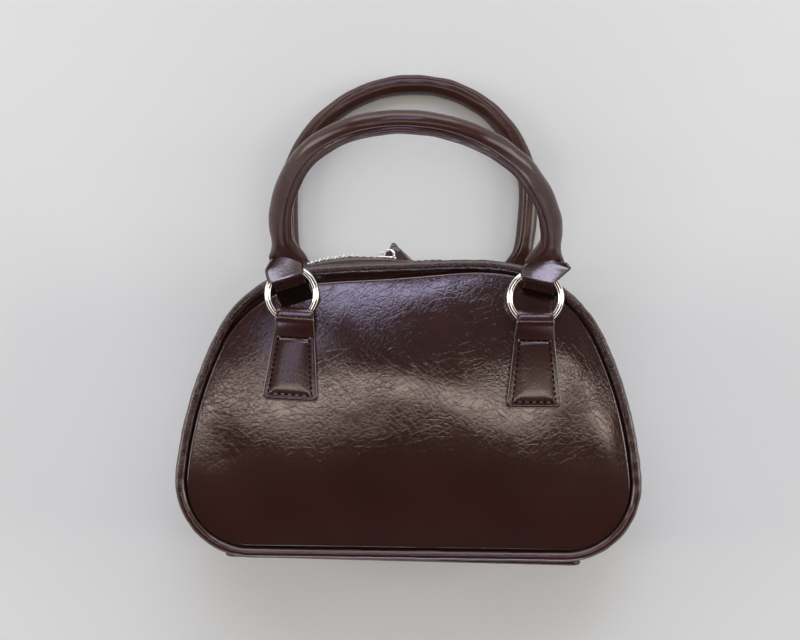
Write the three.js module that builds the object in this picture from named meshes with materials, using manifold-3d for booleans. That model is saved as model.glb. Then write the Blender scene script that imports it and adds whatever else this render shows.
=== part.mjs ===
// Mini bowling-style handbag of glossy leather, lying on its back panel, in millimetres with +Z up.
// x runs across the bag, y from its base towards its handles, z from the back panel up to the front panel.
// The two dome panels, the piping, the gusset and the zip strips are thin walls round a hollow body.
// The zip is closed on the left of its slider and open on the right.
import * as THREE from "three";
import { mergeVertices } from "three/addons/utils/BufferGeometryUtils.js";
import Module from "manifold-3d";

const wasm = await Module();
wasm.setup();

// Driving dimensions
const FRONT = 1;
const BACK = -1;
const GAP = 0.35;
const WALL = 2;
const MERGE_WITHIN = 1e-3;
const BISECTIONS = 40;

// Half of the panel outline, clockwise from the middle of the top edge; a flat base closes it.
const PANEL_HEIGHT = 134.4;
const OUTLINE_ARCS = [
  { part: "top", radius: 430, turn: 6 },
  { part: "shoulder", radius: 54, turn: 58 },
  { part: "side", radius: 183, turn: 21 },
  { part: "corner", radius: 35, turn: 95 },
];
const OUTLINE_STEPS = 48;

const PIPING_RADIUS = 2.3;
const PIPING_SIDES = 6;

// Heights of the seams above the surface: the front is level, the back rises over its rings.
const FRONT_SEAM_Z = 79;
const BACK_SEAM_Z = 3.2;
const BACK_SEAM_RISE = 9.4;

const PANEL_CENTRE_Y = 62;
const PANEL_INSET = 2 * PIPING_RADIUS + GAP;
const PANEL_RINGS = [1, 0.9, 0.7, 0.42, 0.14];
const CROWN_POWER = 2.4;
const FRONT_CROWN = 9;
const BACK_CROWN_LOW = 11;
const BACK_CROWN_HIGH = 2.5;
const BACK_CROWN_CHANGES_AT = { from: 36, to: 70 };
const DENT_EDGE_FADE = 3;
const FRONT_DENTS = [
  { x: -34, y: 60, reach: 24, lift: -1.1 },
  { x: 30, y: 52, reach: 26, lift: -1.0 },
  { x: -4, y: 78, reach: 30, lift: 0.9 },
  { x: 72, y: 62, reach: 20, lift: 0.8 },
  { x: -76, y: 58, reach: 20, lift: 0.7 },
];

// How far the gusset stands out beyond its seams, along the outline from the middle of the top.
// It rises under the closed part of the zip, and sinks where the zip is open.
const GUSSET_EDGE_INSET = 1;
const GUSSET_STEPS = 14;
const GUSSET_COLUMNS = [-1, -0.8, -0.3, 0.3, 0.8, 1];
const GUSSET_BULGE = [
  { along: -225, bulge: 1.2, power: 7 },
  { along: -205, bulge: 3.6, power: 3.4 },
  { along: -165, bulge: 5.8, power: 2.4 },
  { along: -104, bulge: 3, power: 2.2 },
  { along: -70, bulge: 2.6, power: 2.2 },
  { along: -49, bulge: 2.8, power: 2.2 },
  { along: -40, bulge: 5.2, power: 2.2 },
  { along: -28, bulge: 6.4, power: 2.2 },
  { along: -12, bulge: 5.6, power: 2.2 },
  { along: 5, bulge: 3, power: 2.2 },
  { along: 25, bulge: 2.4, power: 2.2 },
  { along: 104, bulge: 3, power: 2.2 },
  { along: 165, bulge: 5.8, power: 2.4 },
  { along: 205, bulge: 3.6, power: 3.4 },
  { along: 225, bulge: 1.2, power: 7 },
];

const BASE = { middle: -2, half: 82, corner: 5, wall: 2, drop: 2.6, edgeMargin: 8, taper: 0.7 };

const ZIP = {
  end: 104,
  stripEdge: 6.4,
  tapeWall: 1,
  tapeInner: 2.1,
  tapeUnder: 0.4,
  tapeJoin: 1,
  teethStart: -98,
  teethEnd: 98,
  toothPitch: 2.8,
  toothDepth: 1.6,
  toothHeight: 2.2,
  webDepth: 0.4,
  webHeight: 1.3,
  sliderAt: -12,
  mouth: 6.4,
  mouthPower: 0.8,
  steps: 20,
};

const RING = { radius: 11.5, wire: 1.5, sides: 6, segments: 20, y: 119.2 };
const SLEEVE = { clear: 0.35, wall: 1.4, halfAngle: 43, steps: 5 };

// Where each ring lies across the bag, how far its tab is moved and turned, and where the tab's foot is.
const HARDWARE = [
  { face: FRONT, name: "left", x: -53.5, shift: 1.8, turn: 2.5, footY: 71.4 },
  { face: FRONT, name: "right", x: 55.6, shift: 0, turn: 0, footY: 69.5 },
  { face: BACK, name: "left", x: -56.6, shift: 0, turn: 0, footY: 69.5 },
  { face: BACK, name: "right", x: 52.6, shift: 0, turn: 0, footY: 69.5 },
];

// Tabs: half width at heights measured up from the tab's lower edge.
const TAB_WALL = 3;
const TAB_COLUMNS = [-1, -0.5, 0, 0.5, 1];
const TAB_ROWS = [
  { up: 0, half: 9.4 },
  { up: 0.9, half: 11.4 },
  { up: 2.8, half: 12.3 },
  { up: 12, half: 11.3 },
  { up: 22, half: 10.1 },
  { up: 31, half: 9.1 },
  { up: 38, half: 8.4 },
];

// Handles: each is a half circle on legs that draw in to its rings. The feet sit a little to one side
// of the rings, and the arch leans over.
const LEAN_POWER = 3;
const HANDLES = [
  { face: FRONT, name: "front", arch: 58.6, legRise: 34.8, tilt: 53, shift: 0.4, lean: -6 },
  { face: BACK, name: "back", arch: 60.4, legRise: 36, tilt: 0.5, shift: 0, lean: 3.3 },
];
// Sections of a handle's ends, by their distance along it from the ring.
const HANDLE_TUBE = 4.9;
const HANDLE_SIDES = 12;
const HANDLE_STEP = 12;
const HANDLE_ENDS = [
  { along: 0.5, half: 7.6, front: 2.7, back: 2.7, power: 5 },
  { along: 4.6, half: 9.2, front: 3.2, back: 2.8, power: 4.5 },
  { along: 6, half: 8.8, front: 2.9, back: 2.9, power: 3.4 },
  { along: 11, half: 6.7, front: 3.8, back: 3.8, power: 2.5 },
  { along: 17, half: 5.3, front: 4.6, back: 4.6, power: 2 },
  { along: 23, half: 4.9, front: 4.9, back: 4.9, power: 2 },
];

const SLIDER = {
  length: 11,
  widest: 1.8,
  front: 8.4,
  nose: 6.4,
  rear: 5.2,
  wall: 1.8,
  lift: 0.35,
  bevel: 0.4,
};
const BRIDGE = { radius: 2.9, wire: 0.75, sides: 6, segments: 20 };
const PULL_RING = { radius: 3.3, wire: 0.7, sides: 6, segments: 12, lean: 4 };
const PULL_TAB = { half: 3.4, neck: 2, wall: 0.9, sleeve: 0.8, sleeveSides: 8, step: 5 };
const PULL_PATH = [
  { x: 8, y: 3.6, z: -2 },
  { x: 9.4, y: 2, z: -8 },
  { x: 10.6, y: 0, z: -15 },
  { x: 11.6, y: -2, z: -22 },
  { x: 12.4, y: -3.6, z: -28.5 },
];

// Materials
const leather = new THREE.MeshStandardMaterial({ color: 0x3a231d, roughness: 0.32 });
const silver = new THREE.MeshStandardMaterial({ color: 0xd6d6d4, roughness: 0.15, metalness: 1 });
const tapeCloth = new THREE.MeshStandardMaterial({ color: 0x1c1412, roughness: 0.9 });

// Small helpers
const radians = THREE.MathUtils.degToRad;
const smoothstep = THREE.MathUtils.smoothstep;

function lookUp(rows, key, at, column) {
  const next = rows.findIndex((row) => row[key] > at);
  if (next === 0) return rows[0][column];
  if (next < 0) return rows[rows.length - 1][column];
  const [a, b] = [rows[next - 1], rows[next]];
  return THREE.MathUtils.mapLinear(at, a[key], b[key], a[column], b[column]);
}

// A chain of tangent arcs that turns clockwise, then runs straight on.
function arcChain(start, arcs) {
  let { x, y } = start;
  let heading = 0;
  let from = 0;
  const links = arcs.map(({ radius, turn }) => {
    const link = { x, y, heading, from, radius };
    const next = heading + radians(turn);
    x += radius * (Math.sin(next) - Math.sin(heading));
    y -= radius * (Math.cos(heading) - Math.cos(next));
    heading = next;
    from += radius * radians(turn);
    return link;
  });
  const at = (along) => {
    if (along >= from) {
      const on = along - from;
      return { x: x + on * Math.cos(heading), y: y - on * Math.sin(heading), heading };
    }
    const link = links.findLast((l) => l.from <= along);
    const now = link.heading + (along - link.from) / link.radius;
    return {
      x: link.x + link.radius * (Math.sin(now) - Math.sin(link.heading)),
      y: link.y - link.radius * (Math.cos(link.heading) - Math.cos(now)),
      heading: now,
    };
  };
  return { at, length: from, end: { x, y } };
}

// A closed solid through rings of points; its ends are zipped shut unless the rings run round in a loop.
function loft(rings, loops = false) {
  const n = rings[0].length;
  const faces = [];
  const fan = (corners) => {
    for (let i = 1; i < corners.length - 1; i++) faces.push([corners[0], corners[i], corners[i + 1]]);
  };
  const last = loops ? rings.length : rings.length - 1;
  for (let i = 0; i < last; i++) {
    const here = i * n;
    const there = ((i + 1) % rings.length) * n;
    for (let k = 0; k < n; k++) {
      const k2 = (k + 1) % n;
      fan([here + k, here + k2, there + k2, there + k]);
    }
  }
  const cap = (base, flip) => {
    for (let low = 0, high = n - 1; low + 1 < high; low++, high--) {
      const corners = [...new Set([low, low + 1, high - 1, high])].map((c) => base + c);
      fan(flip ? corners.reverse() : corners);
    }
  };
  if (!loops) {
    cap(0, true);
    cap((rings.length - 1) * n, false);
  }
  return outward(rings.flat(), faces);
}

// Geometry from points and triangles, with its faces turned to point out.
function outward(points, faces) {
  const volume = faces.reduce((sum, [a, b, c]) => {
    const cross = new THREE.Vector3().crossVectors(points[b], points[c]);
    return sum + points[a].dot(cross);
  }, 0);
  const index = faces.flatMap(([a, b, c]) => (volume < 0 ? [a, c, b] : [a, b, c]));
  const geometry = new THREE.BufferGeometry().setFromPoints(points);
  return geometry.setIndex(index);
}

function solidOf(geometry) {
  const bare = geometry.clone();
  bare.deleteAttribute("normal");
  bare.deleteAttribute("uv");
  const merged = mergeVertices(bare, MERGE_WITHIN);
  return new wasm.Manifold(
    new wasm.Mesh({
      numProp: 3,
      vertProperties: merged.attributes.position.array,
      triVerts: new Uint32Array(merged.index.array),
    }),
  );
}

function geometryOf(solid) {
  const mesh = solid.getMesh();
  return new THREE.BufferGeometry()
    .setAttribute("position", new THREE.BufferAttribute(mesh.vertProperties, 3))
    .setIndex(new THREE.BufferAttribute(mesh.triVerts, 1));
}

function named(name, geometry, material) {
  const mesh = new THREE.Mesh(geometry, material.clone());
  mesh.name = name;
  return mesh;
}

// Outline and seam planes
const outlineChain = arcChain({ x: 0, y: PANEL_HEIGHT }, OUTLINE_ARCS);
const HALF_OUTLINE = outlineChain.length + outlineChain.end.x;

// A point of the outline, moved out by some distance; along is negative on the left half.
function outlineAt(along, out = 0) {
  const side = along < 0 ? -1 : 1;
  const { x, y, heading } = outlineChain.at(Math.abs(along));
  const normal = new THREE.Vector2(side * Math.sin(heading), Math.cos(heading));
  return new THREE.Vector2(side * x, y).addScaledVector(normal, out);
}

function outlineRing(steps) {
  return Array.from({ length: steps }, (_, i) => ((2 * i) / steps - 1) * HALF_OUTLINE);
}

function seamZ(face, y) {
  return face === FRONT ? FRONT_SEAM_Z : BACK_SEAM_Z + (BACK_SEAM_RISE * y) / PANEL_HEIGHT;
}

// Share of the way from the panel's centre to its edge at a point.
function reachOf(x, y) {
  const towards = Math.atan2(Math.abs(x), y - PANEL_CENTRE_Y);
  let low = 0;
  let high = HALF_OUTLINE;
  for (let i = 0; i < BISECTIONS; i++) {
    const middle = (low + high) / 2;
    const p = outlineAt(middle, -PANEL_INSET);
    if (Math.atan2(p.x, p.y - PANEL_CENTRE_Y) < towards) low = middle;
    else high = middle;
  }
  const edge = outlineAt(low, -PANEL_INSET);
  return Math.hypot(x, y - PANEL_CENTRE_Y) / Math.hypot(edge.x, edge.y - PANEL_CENTRE_Y);
}

// Height of a panel's outer face; the back one lies flat on the surface where it reaches it.
function panelZ(face, x, y) {
  const dome = 1 - Math.min(1, reachOf(x, y)) ** CROWN_POWER;
  if (face === FRONT) {
    const dents = FRONT_DENTS.reduce((sum, dent) => {
      const away = Math.hypot(x - dent.x, y - dent.y) / dent.reach;
      return sum + dent.lift * Math.exp(-away * away) * Math.min(1, DENT_EDGE_FADE * dome);
    }, 0);
    return seamZ(FRONT, y) + WALL / 2 + FRONT_CROWN * dome + dents;
  }
  const high = smoothstep(y, BACK_CROWN_CHANGES_AT.from, BACK_CROWN_CHANGES_AT.to);
  const crown = THREE.MathUtils.lerp(BACK_CROWN_LOW, BACK_CROWN_HIGH, high);
  return Math.max(0, seamZ(BACK, y) - WALL / 2 - crown * dome);
}

function panel(face) {
  const ring = (share, depth) =>
    outlineRing(OUTLINE_STEPS).map((along) => {
      const edge = outlineAt(along, -PANEL_INSET);
      const x = edge.x * share;
      const y = PANEL_CENTRE_Y + (edge.y - PANEL_CENTRE_Y) * share;
      return new THREE.Vector3(x, y, panelZ(face, x, y) - face * depth);
    });
  const outer = PANEL_RINGS.map((share) => ring(share, 0));
  const inner = PANEL_RINGS.map((share) => ring(share, WALL));
  return loft([...inner.reverse(), ...outer]);
}

function piping(face) {
  const rings = outlineRing(OUTLINE_STEPS).map((along) => {
    const turns = Array.from({ length: PIPING_SIDES }, (_, k) => (2 * Math.PI * k) / PIPING_SIDES);
    return turns.map((turn) => {
      const p = outlineAt(along, PIPING_RADIUS * (Math.cos(turn) - 1));
      return new THREE.Vector3(p.x, p.y, seamZ(face, p.y) + PIPING_RADIUS * Math.sin(turn));
    });
  });
  return loft(rings, true);
}

// Gusset surface: across is -1 at the back seam and 1 at the front one
function gussetSpan(along) {
  const { y } = outlineAt(along);
  const [back, front] = [seamZ(BACK, y), seamZ(FRONT, y)];
  return { middle: (back + front) / 2, half: (front - back) / 2 - PIPING_RADIUS - GAP };
}

function gussetPoint(along, across, out) {
  const { middle, half } = gussetSpan(along);
  const bulge = lookUp(GUSSET_BULGE, "along", along, "bulge");
  const power = lookUp(GUSSET_BULGE, "along", along, "power");
  const stand = bulge * (1 - Math.min(1, Math.abs(across)) ** power) - GUSSET_EDGE_INSET;
  const p = outlineAt(along, stand + out);
  return new THREE.Vector3(p.x, p.y, middle + across * half);
}

// A wall that follows the gusset between two lists of positions across it.
function gussetWall(steps, acrossAt, outer, inner) {
  const rings = steps.map((along) => {
    const columns = acrossAt(along);
    const face = (out) => columns.map((across) => gussetPoint(along, across, out));
    return [...face(outer), ...face(inner).reverse()];
  });
  return loft(rings);
}

function stepsBetween(from, to, count) {
  return Array.from({ length: count + 1 }, (_, i) => from + ((to - from) * i) / count);
}

function sideGusset(side) {
  const steps = stepsBetween(ZIP.end + GAP, HALF_OUTLINE - GAP / 2, GUSSET_STEPS);
  const placed = steps.map((along) => side * along);
  return gussetWall(placed, () => GUSSET_COLUMNS, 0, -WALL);
}

// Base panel: a flat patch outside the gusset, with its ends cut round.
function basePanel() {
  const low = seamZ(BACK, 0) + BASE.edgeMargin;
  const high = seamZ(FRONT, 0) - BASE.edgeMargin;
  const outline = new THREE.Shape();
  const r = BASE.corner;
  outline.moveTo(-BASE.half + r, low).lineTo(BASE.half - r, low);
  outline.quadraticCurveTo(BASE.half, low, BASE.half, low + r).lineTo(BASE.half, high - r);
  outline.quadraticCurveTo(BASE.half, high, BASE.half - r, high).lineTo(-BASE.half + r, high);
  outline.quadraticCurveTo(-BASE.half, high, -BASE.half, high - r).lineTo(-BASE.half, low + r);
  outline.quadraticCurveTo(-BASE.half, low, -BASE.half + r, low);
  const plate = new THREE.ExtrudeGeometry(outline, {
    depth: BASE.wall - BASE.taper,
    bevelEnabled: true,
    bevelThickness: BASE.taper / 2,
    bevelSize: BASE.taper / 2,
    bevelOffset: -BASE.taper / 2,
    bevelSegments: 1,
    curveSegments: 3,
  });
  plate.rotateX(Math.PI / 2);
  return plate.translate(BASE.middle, -BASE.drop + BASE.wall - BASE.taper / 2, 0);
}

// Zip: half of the mouth's width at a place along it, nothing on the closed side
function mouthAt(along) {
  const share = THREE.MathUtils.clamp((along - ZIP.sliderAt) / (ZIP.teethEnd - ZIP.sliderAt), 0, 1);
  return ZIP.mouth * Math.sin(Math.PI * share) ** ZIP.mouthPower;
}

function zipStrip(face) {
  const columns = [0, 0.45, 1];
  const acrossAt = (along) => {
    const edge = (ZIP.stripEdge + mouthAt(along)) / gussetSpan(along).half;
    return columns.map((share) => face * THREE.MathUtils.lerp(edge, 1, share));
  };
  return gussetWall(stepsBetween(-ZIP.end, ZIP.end, ZIP.steps), acrossAt, 0, -WALL);
}

// A tape carries the teeth, and meets the other tape beyond them.
function zipTape(face) {
  const acrossAt = (along) => {
    const { half } = gussetSpan(along);
    const open = mouthAt(along);
    const inner = along < ZIP.teethStart || along > ZIP.teethEnd ? GAP / 2 : ZIP.tapeInner + open;
    return [inner, ZIP.stripEdge - GAP + open].map((edge) => (face * edge) / half);
  };
  const steps = [
    ...[-ZIP.end, ZIP.teethStart - ZIP.tapeJoin],
    ...stepsBetween(ZIP.teethStart, ZIP.teethEnd, ZIP.steps),
    ...[ZIP.teethEnd + ZIP.tapeJoin, ZIP.end],
  ];
  return gussetWall(steps, acrossAt, -ZIP.tapeUnder, -ZIP.tapeUnder - ZIP.tapeWall);
}

// A row of teeth: a bar along the tape's edge that widens at each tooth.
function zipTeeth(face) {
  const count = Math.floor((ZIP.teethEnd - ZIP.teethStart) / ZIP.toothPitch);
  const rings = stepsBetween(0, 2 * count, 2 * count).map((i) => {
    const along = ZIP.teethStart + (i * ZIP.toothPitch) / 2;
    const { half } = gussetSpan(along);
    const atTooth = i % 2 === 0;
    const outer = ZIP.tapeInner - GAP + mouthAt(along);
    const inner = outer - (atTooth ? ZIP.toothDepth : ZIP.webDepth);
    const rise = (atTooth ? ZIP.toothHeight : ZIP.webHeight) / 2;
    const level = -ZIP.tapeUnder - ZIP.tapeWall / 2;
    const corner = (mm, out) => gussetPoint(along, (face * mm) / half, level + out);
    return [corner(outer, 0), corner(inner, rise), corner(inner, -rise)];
  });
  return loft(rings);
}

// Rings and the leather sleeves that wrap them
const SLEEVE_RADIUS = RING.wire + SLEEVE.clear + SLEEVE.wall;

function ringCentre({ face, x }) {
  const foot = panelZ(face, x, RING.y - RING.radius);
  return new THREE.Vector3(x, RING.y, foot + face * (GAP + SLEEVE_RADIUS));
}

// A capped tube round part of a ring, centred on an angle from the +x axis.
function sleeve(centre, atDegrees) {
  const turns = stepsBetween(atDegrees - SLEEVE.halfAngle, atDegrees + SLEEVE.halfAngle, SLEEVE.steps);
  const rings = turns.map(radians).map((turn) =>
    Array.from({ length: RING.sides }, (_, k) => {
      const round = (2 * Math.PI * k) / RING.sides;
      const from = RING.radius + SLEEVE_RADIUS * Math.cos(round);
      const up = SLEEVE_RADIUS * Math.sin(round);
      return new THREE.Vector3(from * Math.cos(turn), from * Math.sin(turn), up).add(centre);
    }),
  );
  return solidOf(loft(rings));
}

function ringHole(centre) {
  const clear = RING.wire + SLEEVE.clear;
  const hole = new THREE.TorusGeometry(RING.radius, clear, RING.sides, RING.segments);
  return solidOf(hole.translate(centre.x, centre.y, centre.z));
}

function ring() {
  return new THREE.TorusGeometry(RING.radius, RING.wire, RING.sides, RING.segments);
}

// Tab: a trapezoid that lies on the panel, turned about its ring, with a sleeve round the ring's foot.
function tab(place) {
  const { face, shift, turn, footY } = place;
  const centre = ringCentre(place);
  const pivot = new THREE.Vector2(centre.x, centre.y);
  const rings = TAB_ROWS.map(({ up, half }) => {
    const layer = (rise) =>
      TAB_COLUMNS.map((share) => {
        const flat = new THREE.Vector2(centre.x + shift + share * half, footY + up);
        const { x, y } = flat.rotateAround(pivot, -radians(turn));
        return new THREE.Vector3(x, y, panelZ(face, x, y) + face * rise);
      });
    return [...layer(GAP + TAB_WALL), ...layer(GAP).reverse()];
  });
  const body = solidOf(loft(rings)).add(sleeve(centre, -90));
  return geometryOf(body.subtract(ringHole(centre)));
}

// Handle: a round tube whose ends flatten, flare and wrap the tops of its two rings.
function handle({ face, arch, legRise, tilt, shift, lean }) {
  const centres = HARDWARE.filter((place) => place.face === face).map(ringCentre);
  const foot = centres[0].clone().lerp(centres[1], 0.5);
  foot.y += RING.radius;
  const drawIn = arch - (centres[1].x - centres[0].x) / 2;
  const legTurn = 2 * Math.atan(drawIn / legRise);
  const chain = arcChain({ x: 0, y: arch + legRise }, [
    { radius: arch, turn: 90 },
    { radius: legRise / Math.sin(legTurn), turn: THREE.MathUtils.radToDeg(legTurn) },
  ]);
  const up = new THREE.Vector3(0, Math.cos(radians(tilt)), Math.sin(radians(tilt)));
  const out = new THREE.Vector3(0, -up.z, up.y);
  const section = (along, { half, front, back, power }) => {
    const side = along < 0 ? -1 : 1;
    const c = chain.at(Math.abs(along));
    const middle = foot.clone().addScaledVector(up, c.y);
    middle.x += side * c.x + shift + lean * (c.y / (arch + legRise)) ** LEAN_POWER;
    const wide = up.clone().multiplyScalar(Math.cos(c.heading));
    wide.x = side * Math.sin(c.heading);
    const round = (v) => Math.sign(v) * Math.abs(v) ** (2 / power);
    return Array.from({ length: HANDLE_SIDES }, (_, k) => {
      const turn = (2 * Math.PI * (k + 0.5)) / HANDLE_SIDES;
      const lift = round(Math.sin(turn));
      const p = middle.clone().addScaledVector(wide, half * round(Math.cos(turn)));
      return p.addScaledVector(out, face * lift * (lift > 0 ? front : back));
    });
  };
  const { length } = chain;
  const tube = { half: HANDLE_TUBE, front: HANDLE_TUBE, back: HANDLE_TUBE, power: 2 };
  const reach = length - HANDLE_ENDS[HANDLE_ENDS.length - 1].along;
  const count = Math.round((2 * reach) / HANDLE_STEP);
  const rings = [
    ...HANDLE_ENDS.map((row) => section(-(length - row.along), row)),
    ...stepsBetween(-reach, reach, count).slice(1, -1).map((along) => section(along, tube)),
    ...HANDLE_ENDS.toReversed().map((row) => section(length - row.along, row)),
  ];
  const body = centres.reduce(
    (solid, centre) => solid.add(sleeve(centre, 90)).subtract(ringHole(centre)),
    solidOf(loft(rings)),
  );
  return geometryOf(body);
}

// Zip slider, in its own frame: x along the zip, y out of it, z towards the front
function sliderBody() {
  const { length, widest, front, nose, rear, wall, bevel } = SLIDER;
  const outline = new THREE.Shape();
  outline.moveTo(-length / 2, -rear / 2).lineTo(widest, -front / 2);
  outline.lineTo(length / 2, -nose / 2).lineTo(length / 2, nose / 2);
  outline.lineTo(widest, front / 2).lineTo(-length / 2, rear / 2);
  outline.closePath();
  const plate = new THREE.ExtrudeGeometry(outline, {
    depth: wall - 2 * bevel,
    bevelThickness: bevel,
    bevelSize: bevel,
    bevelOffset: -bevel,
    bevelSegments: 2,
  });
  plate.rotateX(-Math.PI / 2).translate(0, bevel, 0);
  const arch = new THREE.TorusGeometry(BRIDGE.radius, BRIDGE.wire, BRIDGE.sides, BRIDGE.segments);
  const upper = new THREE.BoxGeometry(length, 2 * BRIDGE.radius, front);
  upper.translate(0, BRIDGE.radius + wall / 2, 0);
  const bridge = solidOf(arch.translate(0, wall, 0)).intersect(solidOf(upper));
  return geometryOf(solidOf(plate).add(bridge));
}

// The pull ring leans along the zip from under the bridge; its far side carries the pull tab.
const pullLean = radians(PULL_RING.lean);
const pullAway = new THREE.Vector3(Math.cos(pullLean), Math.sin(pullLean), 0);

function pullRing(wire) {
  const hook = SLIDER.wall + BRIDGE.radius - BRIDGE.wire - PULL_RING.wire - GAP / 2;
  const centre = pullAway.clone().multiplyScalar(PULL_RING.radius);
  const torus = new THREE.TorusGeometry(PULL_RING.radius, wire, PULL_RING.sides, PULL_RING.segments);
  torus.rotateX(Math.PI / 2).rotateZ(pullLean);
  return torus.translate(centre.x, centre.y + hook, 0);
}

// Pull tab: a doubled strip through the pull ring that drops over the back of the zip.
function pullTab() {
  const hole = pullRing(PULL_RING.wire + GAP);
  hole.computeBoundingSphere();
  const start = hole.boundingSphere.center.clone().addScaledVector(pullAway, PULL_RING.radius);
  const curve = new THREE.CatmullRomCurve3([
    start,
    ...PULL_PATH.map(({ x, y, z }) => new THREE.Vector3(x, y, z)),
  ]);
  const count = Math.round(curve.getLength() / PULL_TAB.step);
  const rings = stepsBetween(0, 1, count).map((share) => {
    const p = curve.getPointAt(share);
    const ahead = curve.getTangentAt(share);
    const wide = new THREE.Vector3(1, 0, 0).addScaledVector(ahead, -ahead.x).normalize();
    const thick = new THREE.Vector3().crossVectors(ahead, wide).normalize();
    const half = share > 0 ? PULL_TAB.half : PULL_TAB.neck;
    thick.multiplyScalar(PULL_TAB.wall);
    const corner = (a, b) => p.clone().addScaledVector(wide, a * half).addScaledVector(thick, b);
    return [corner(-1, 1), corner(0, 1), corner(1, 1), corner(1, -1), corner(0, -1), corner(-1, -1)];
  });
  const around = PULL_RING.wire + GAP + PULL_TAB.sleeve;
  const wrap = new THREE.SphereGeometry(around, PULL_TAB.sleeveSides, PULL_TAB.sleeveSides / 2);
  wrap.translate(start.x, start.y, start.z);
  return geometryOf(solidOf(loft(rings)).add(solidOf(wrap)).subtract(solidOf(hole)));
}

// Assembly
const bag = new THREE.Group();
for (const shape of HANDLES) {
  const { face, name } = shape;
  bag.add(named(`${name}_panel`, panel(face), leather));
  bag.add(named(`${name}_piping`, piping(face), leather));
  bag.add(named(`${name}_zip_strip`, zipStrip(face), leather));
  bag.add(named(`${name}_zip_tape`, zipTape(face), tapeCloth));
  bag.add(named(`${name}_zip_teeth`, zipTeeth(face), silver));
  bag.add(named(`${name}_handle`, handle(shape), leather));
  for (const place of HARDWARE.filter((row) => row.face === face)) {
    const held = named(`${name}_ring_${place.name}`, ring(), silver);
    held.position.copy(ringCentre(place));
    bag.add(held);
    bag.add(named(`${name}_tab_${place.name}`, tab(place), leather));
  }
}
bag.add(named("side_gusset_left", sideGusset(-1), leather));
bag.add(named("side_gusset_right", sideGusset(1), leather));
bag.add(named("base_panel", basePanel(), leather));

const slider = new THREE.Group();
const seat = outlineAt(ZIP.sliderAt);
const crest = gussetPoint(ZIP.sliderAt, 0, ZIP.toothHeight / 2 - ZIP.tapeUnder - ZIP.tapeWall / 2);
slider.position.set(seat.x, crest.y + SLIDER.lift, crest.z);
slider.add(named("zip_slider", sliderBody(), silver));
slider.add(named("zip_pull_ring", pullRing(PULL_RING.wire), silver));
slider.add(named("zip_pull_tab", pullTab(), leather));
bag.add(slider);

// The origin is under the middle of the whole bag, on the surface that it lies on.
bag.updateMatrixWorld(true);
const extent = new THREE.Box3().setFromObject(bag, true);
const middle = extent.getCenter(new THREE.Vector3());
bag.position.set(-middle.x, -middle.y, -extent.min.z);

const part = new THREE.Group();
part.add(bag);
export default part;
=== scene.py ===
import math
from types import SimpleNamespace as Named

import bmesh
import bpy
import numpy as np
from mathutils import Matrix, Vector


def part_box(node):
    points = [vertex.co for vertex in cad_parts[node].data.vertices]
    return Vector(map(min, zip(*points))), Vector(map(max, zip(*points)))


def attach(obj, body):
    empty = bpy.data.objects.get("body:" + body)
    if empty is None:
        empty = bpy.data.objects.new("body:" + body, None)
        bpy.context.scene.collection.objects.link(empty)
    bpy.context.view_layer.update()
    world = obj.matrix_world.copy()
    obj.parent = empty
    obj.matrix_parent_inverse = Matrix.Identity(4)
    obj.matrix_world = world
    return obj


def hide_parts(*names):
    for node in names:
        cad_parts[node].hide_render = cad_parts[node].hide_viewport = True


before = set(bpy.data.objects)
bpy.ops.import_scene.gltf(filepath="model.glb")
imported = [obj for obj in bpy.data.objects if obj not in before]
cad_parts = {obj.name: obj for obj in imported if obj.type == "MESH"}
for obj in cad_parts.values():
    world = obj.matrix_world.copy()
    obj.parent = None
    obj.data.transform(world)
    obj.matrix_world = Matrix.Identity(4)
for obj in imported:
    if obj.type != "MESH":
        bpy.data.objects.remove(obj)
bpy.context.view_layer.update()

# Lengths are in millimetres in the bag's own frame, as the solids have them:
# x across the bag, y from its base to its handles, z from the back it lies on to its front.
MM = 0.001
FRONT = 1
BACK = -1
NAMES = {FRONT: "front", BACK: "back"}

# Outline of the panels: radius and degrees of its arcs, from the top middle round to the flat base
OUTLINE_ARCS = ((430, 6), (54, 58), (183, 21), (35, 95))
PANEL_HEIGHT = 134.4

# Sampling of curves and smooth noise
WALK_STEP = 0.05
PATH_STEPS = 16
RIPPLE_WAVES = 16
RIPPLE_LENGTHS = (0.7, 1.5)

# Seams, panels and piping
FRONT_SEAM_Z = 79
BACK_SEAM_Z = 3.2
BACK_SEAM_RISE = 9.4
PIPING_RADIUS = 2.3
PIPING_STEPS = 900
PIPING_SIDES = 18
PIPING_RIPPLE = {"wavelength": 6, "height": 0.05}
PIPING_SEED = 5
PIPING_JOINT = Named(start=3.5, step=0.3, end=16, fade=1.2, swell=0.16)
PANEL_CENTRE_Y = 62
PANEL_INSET = 4.95
PANEL_WALL = 2
PANEL_STEPS = 320
PANEL_SHARES = 46
PANEL_INNER_SHARES = 8
PANEL_PINHOLE = 0.004
PANEL_EDGE_SAMPLES = 4000
CROWN_POWER = 2.4
FRONT_CROWN = 9
BACK_CROWN_LOW = 11
BACK_CROWN_HIGH = 2.5
BACK_CROWN_CHANGES_AT = (36, 70)
DENT_EDGE_FADE = 3

# Inset from the outline, drop below the panel's face: the edge rolls down beside the piping
PANEL_EDGE = (
    (3.2, 1.9), (4.3, 2.0), (4.85, 3.2), (5.1, 1.5), (5.2, 0.85),
    (5.35, 0.38), (5.6, 0.11), (6.0, 0.02), (6.6, 0),
)

# The groove beside the piping is wider at the top left: the x and y between which it grows wider,
# by how much, and the insets between which it does
TOP_GROOVE = Named(x=(45, -25), y=(95, 128), widen=2.4, insets=(4.3, 5.1))

# The front seam is pulled up on the right of the top: middle and reach across, height,
# and the y and z between which that sets in
TOP_LIFT = Named(x=38, reach=28, height=3.0, y=(95, 128), z=(58, 79))

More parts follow.
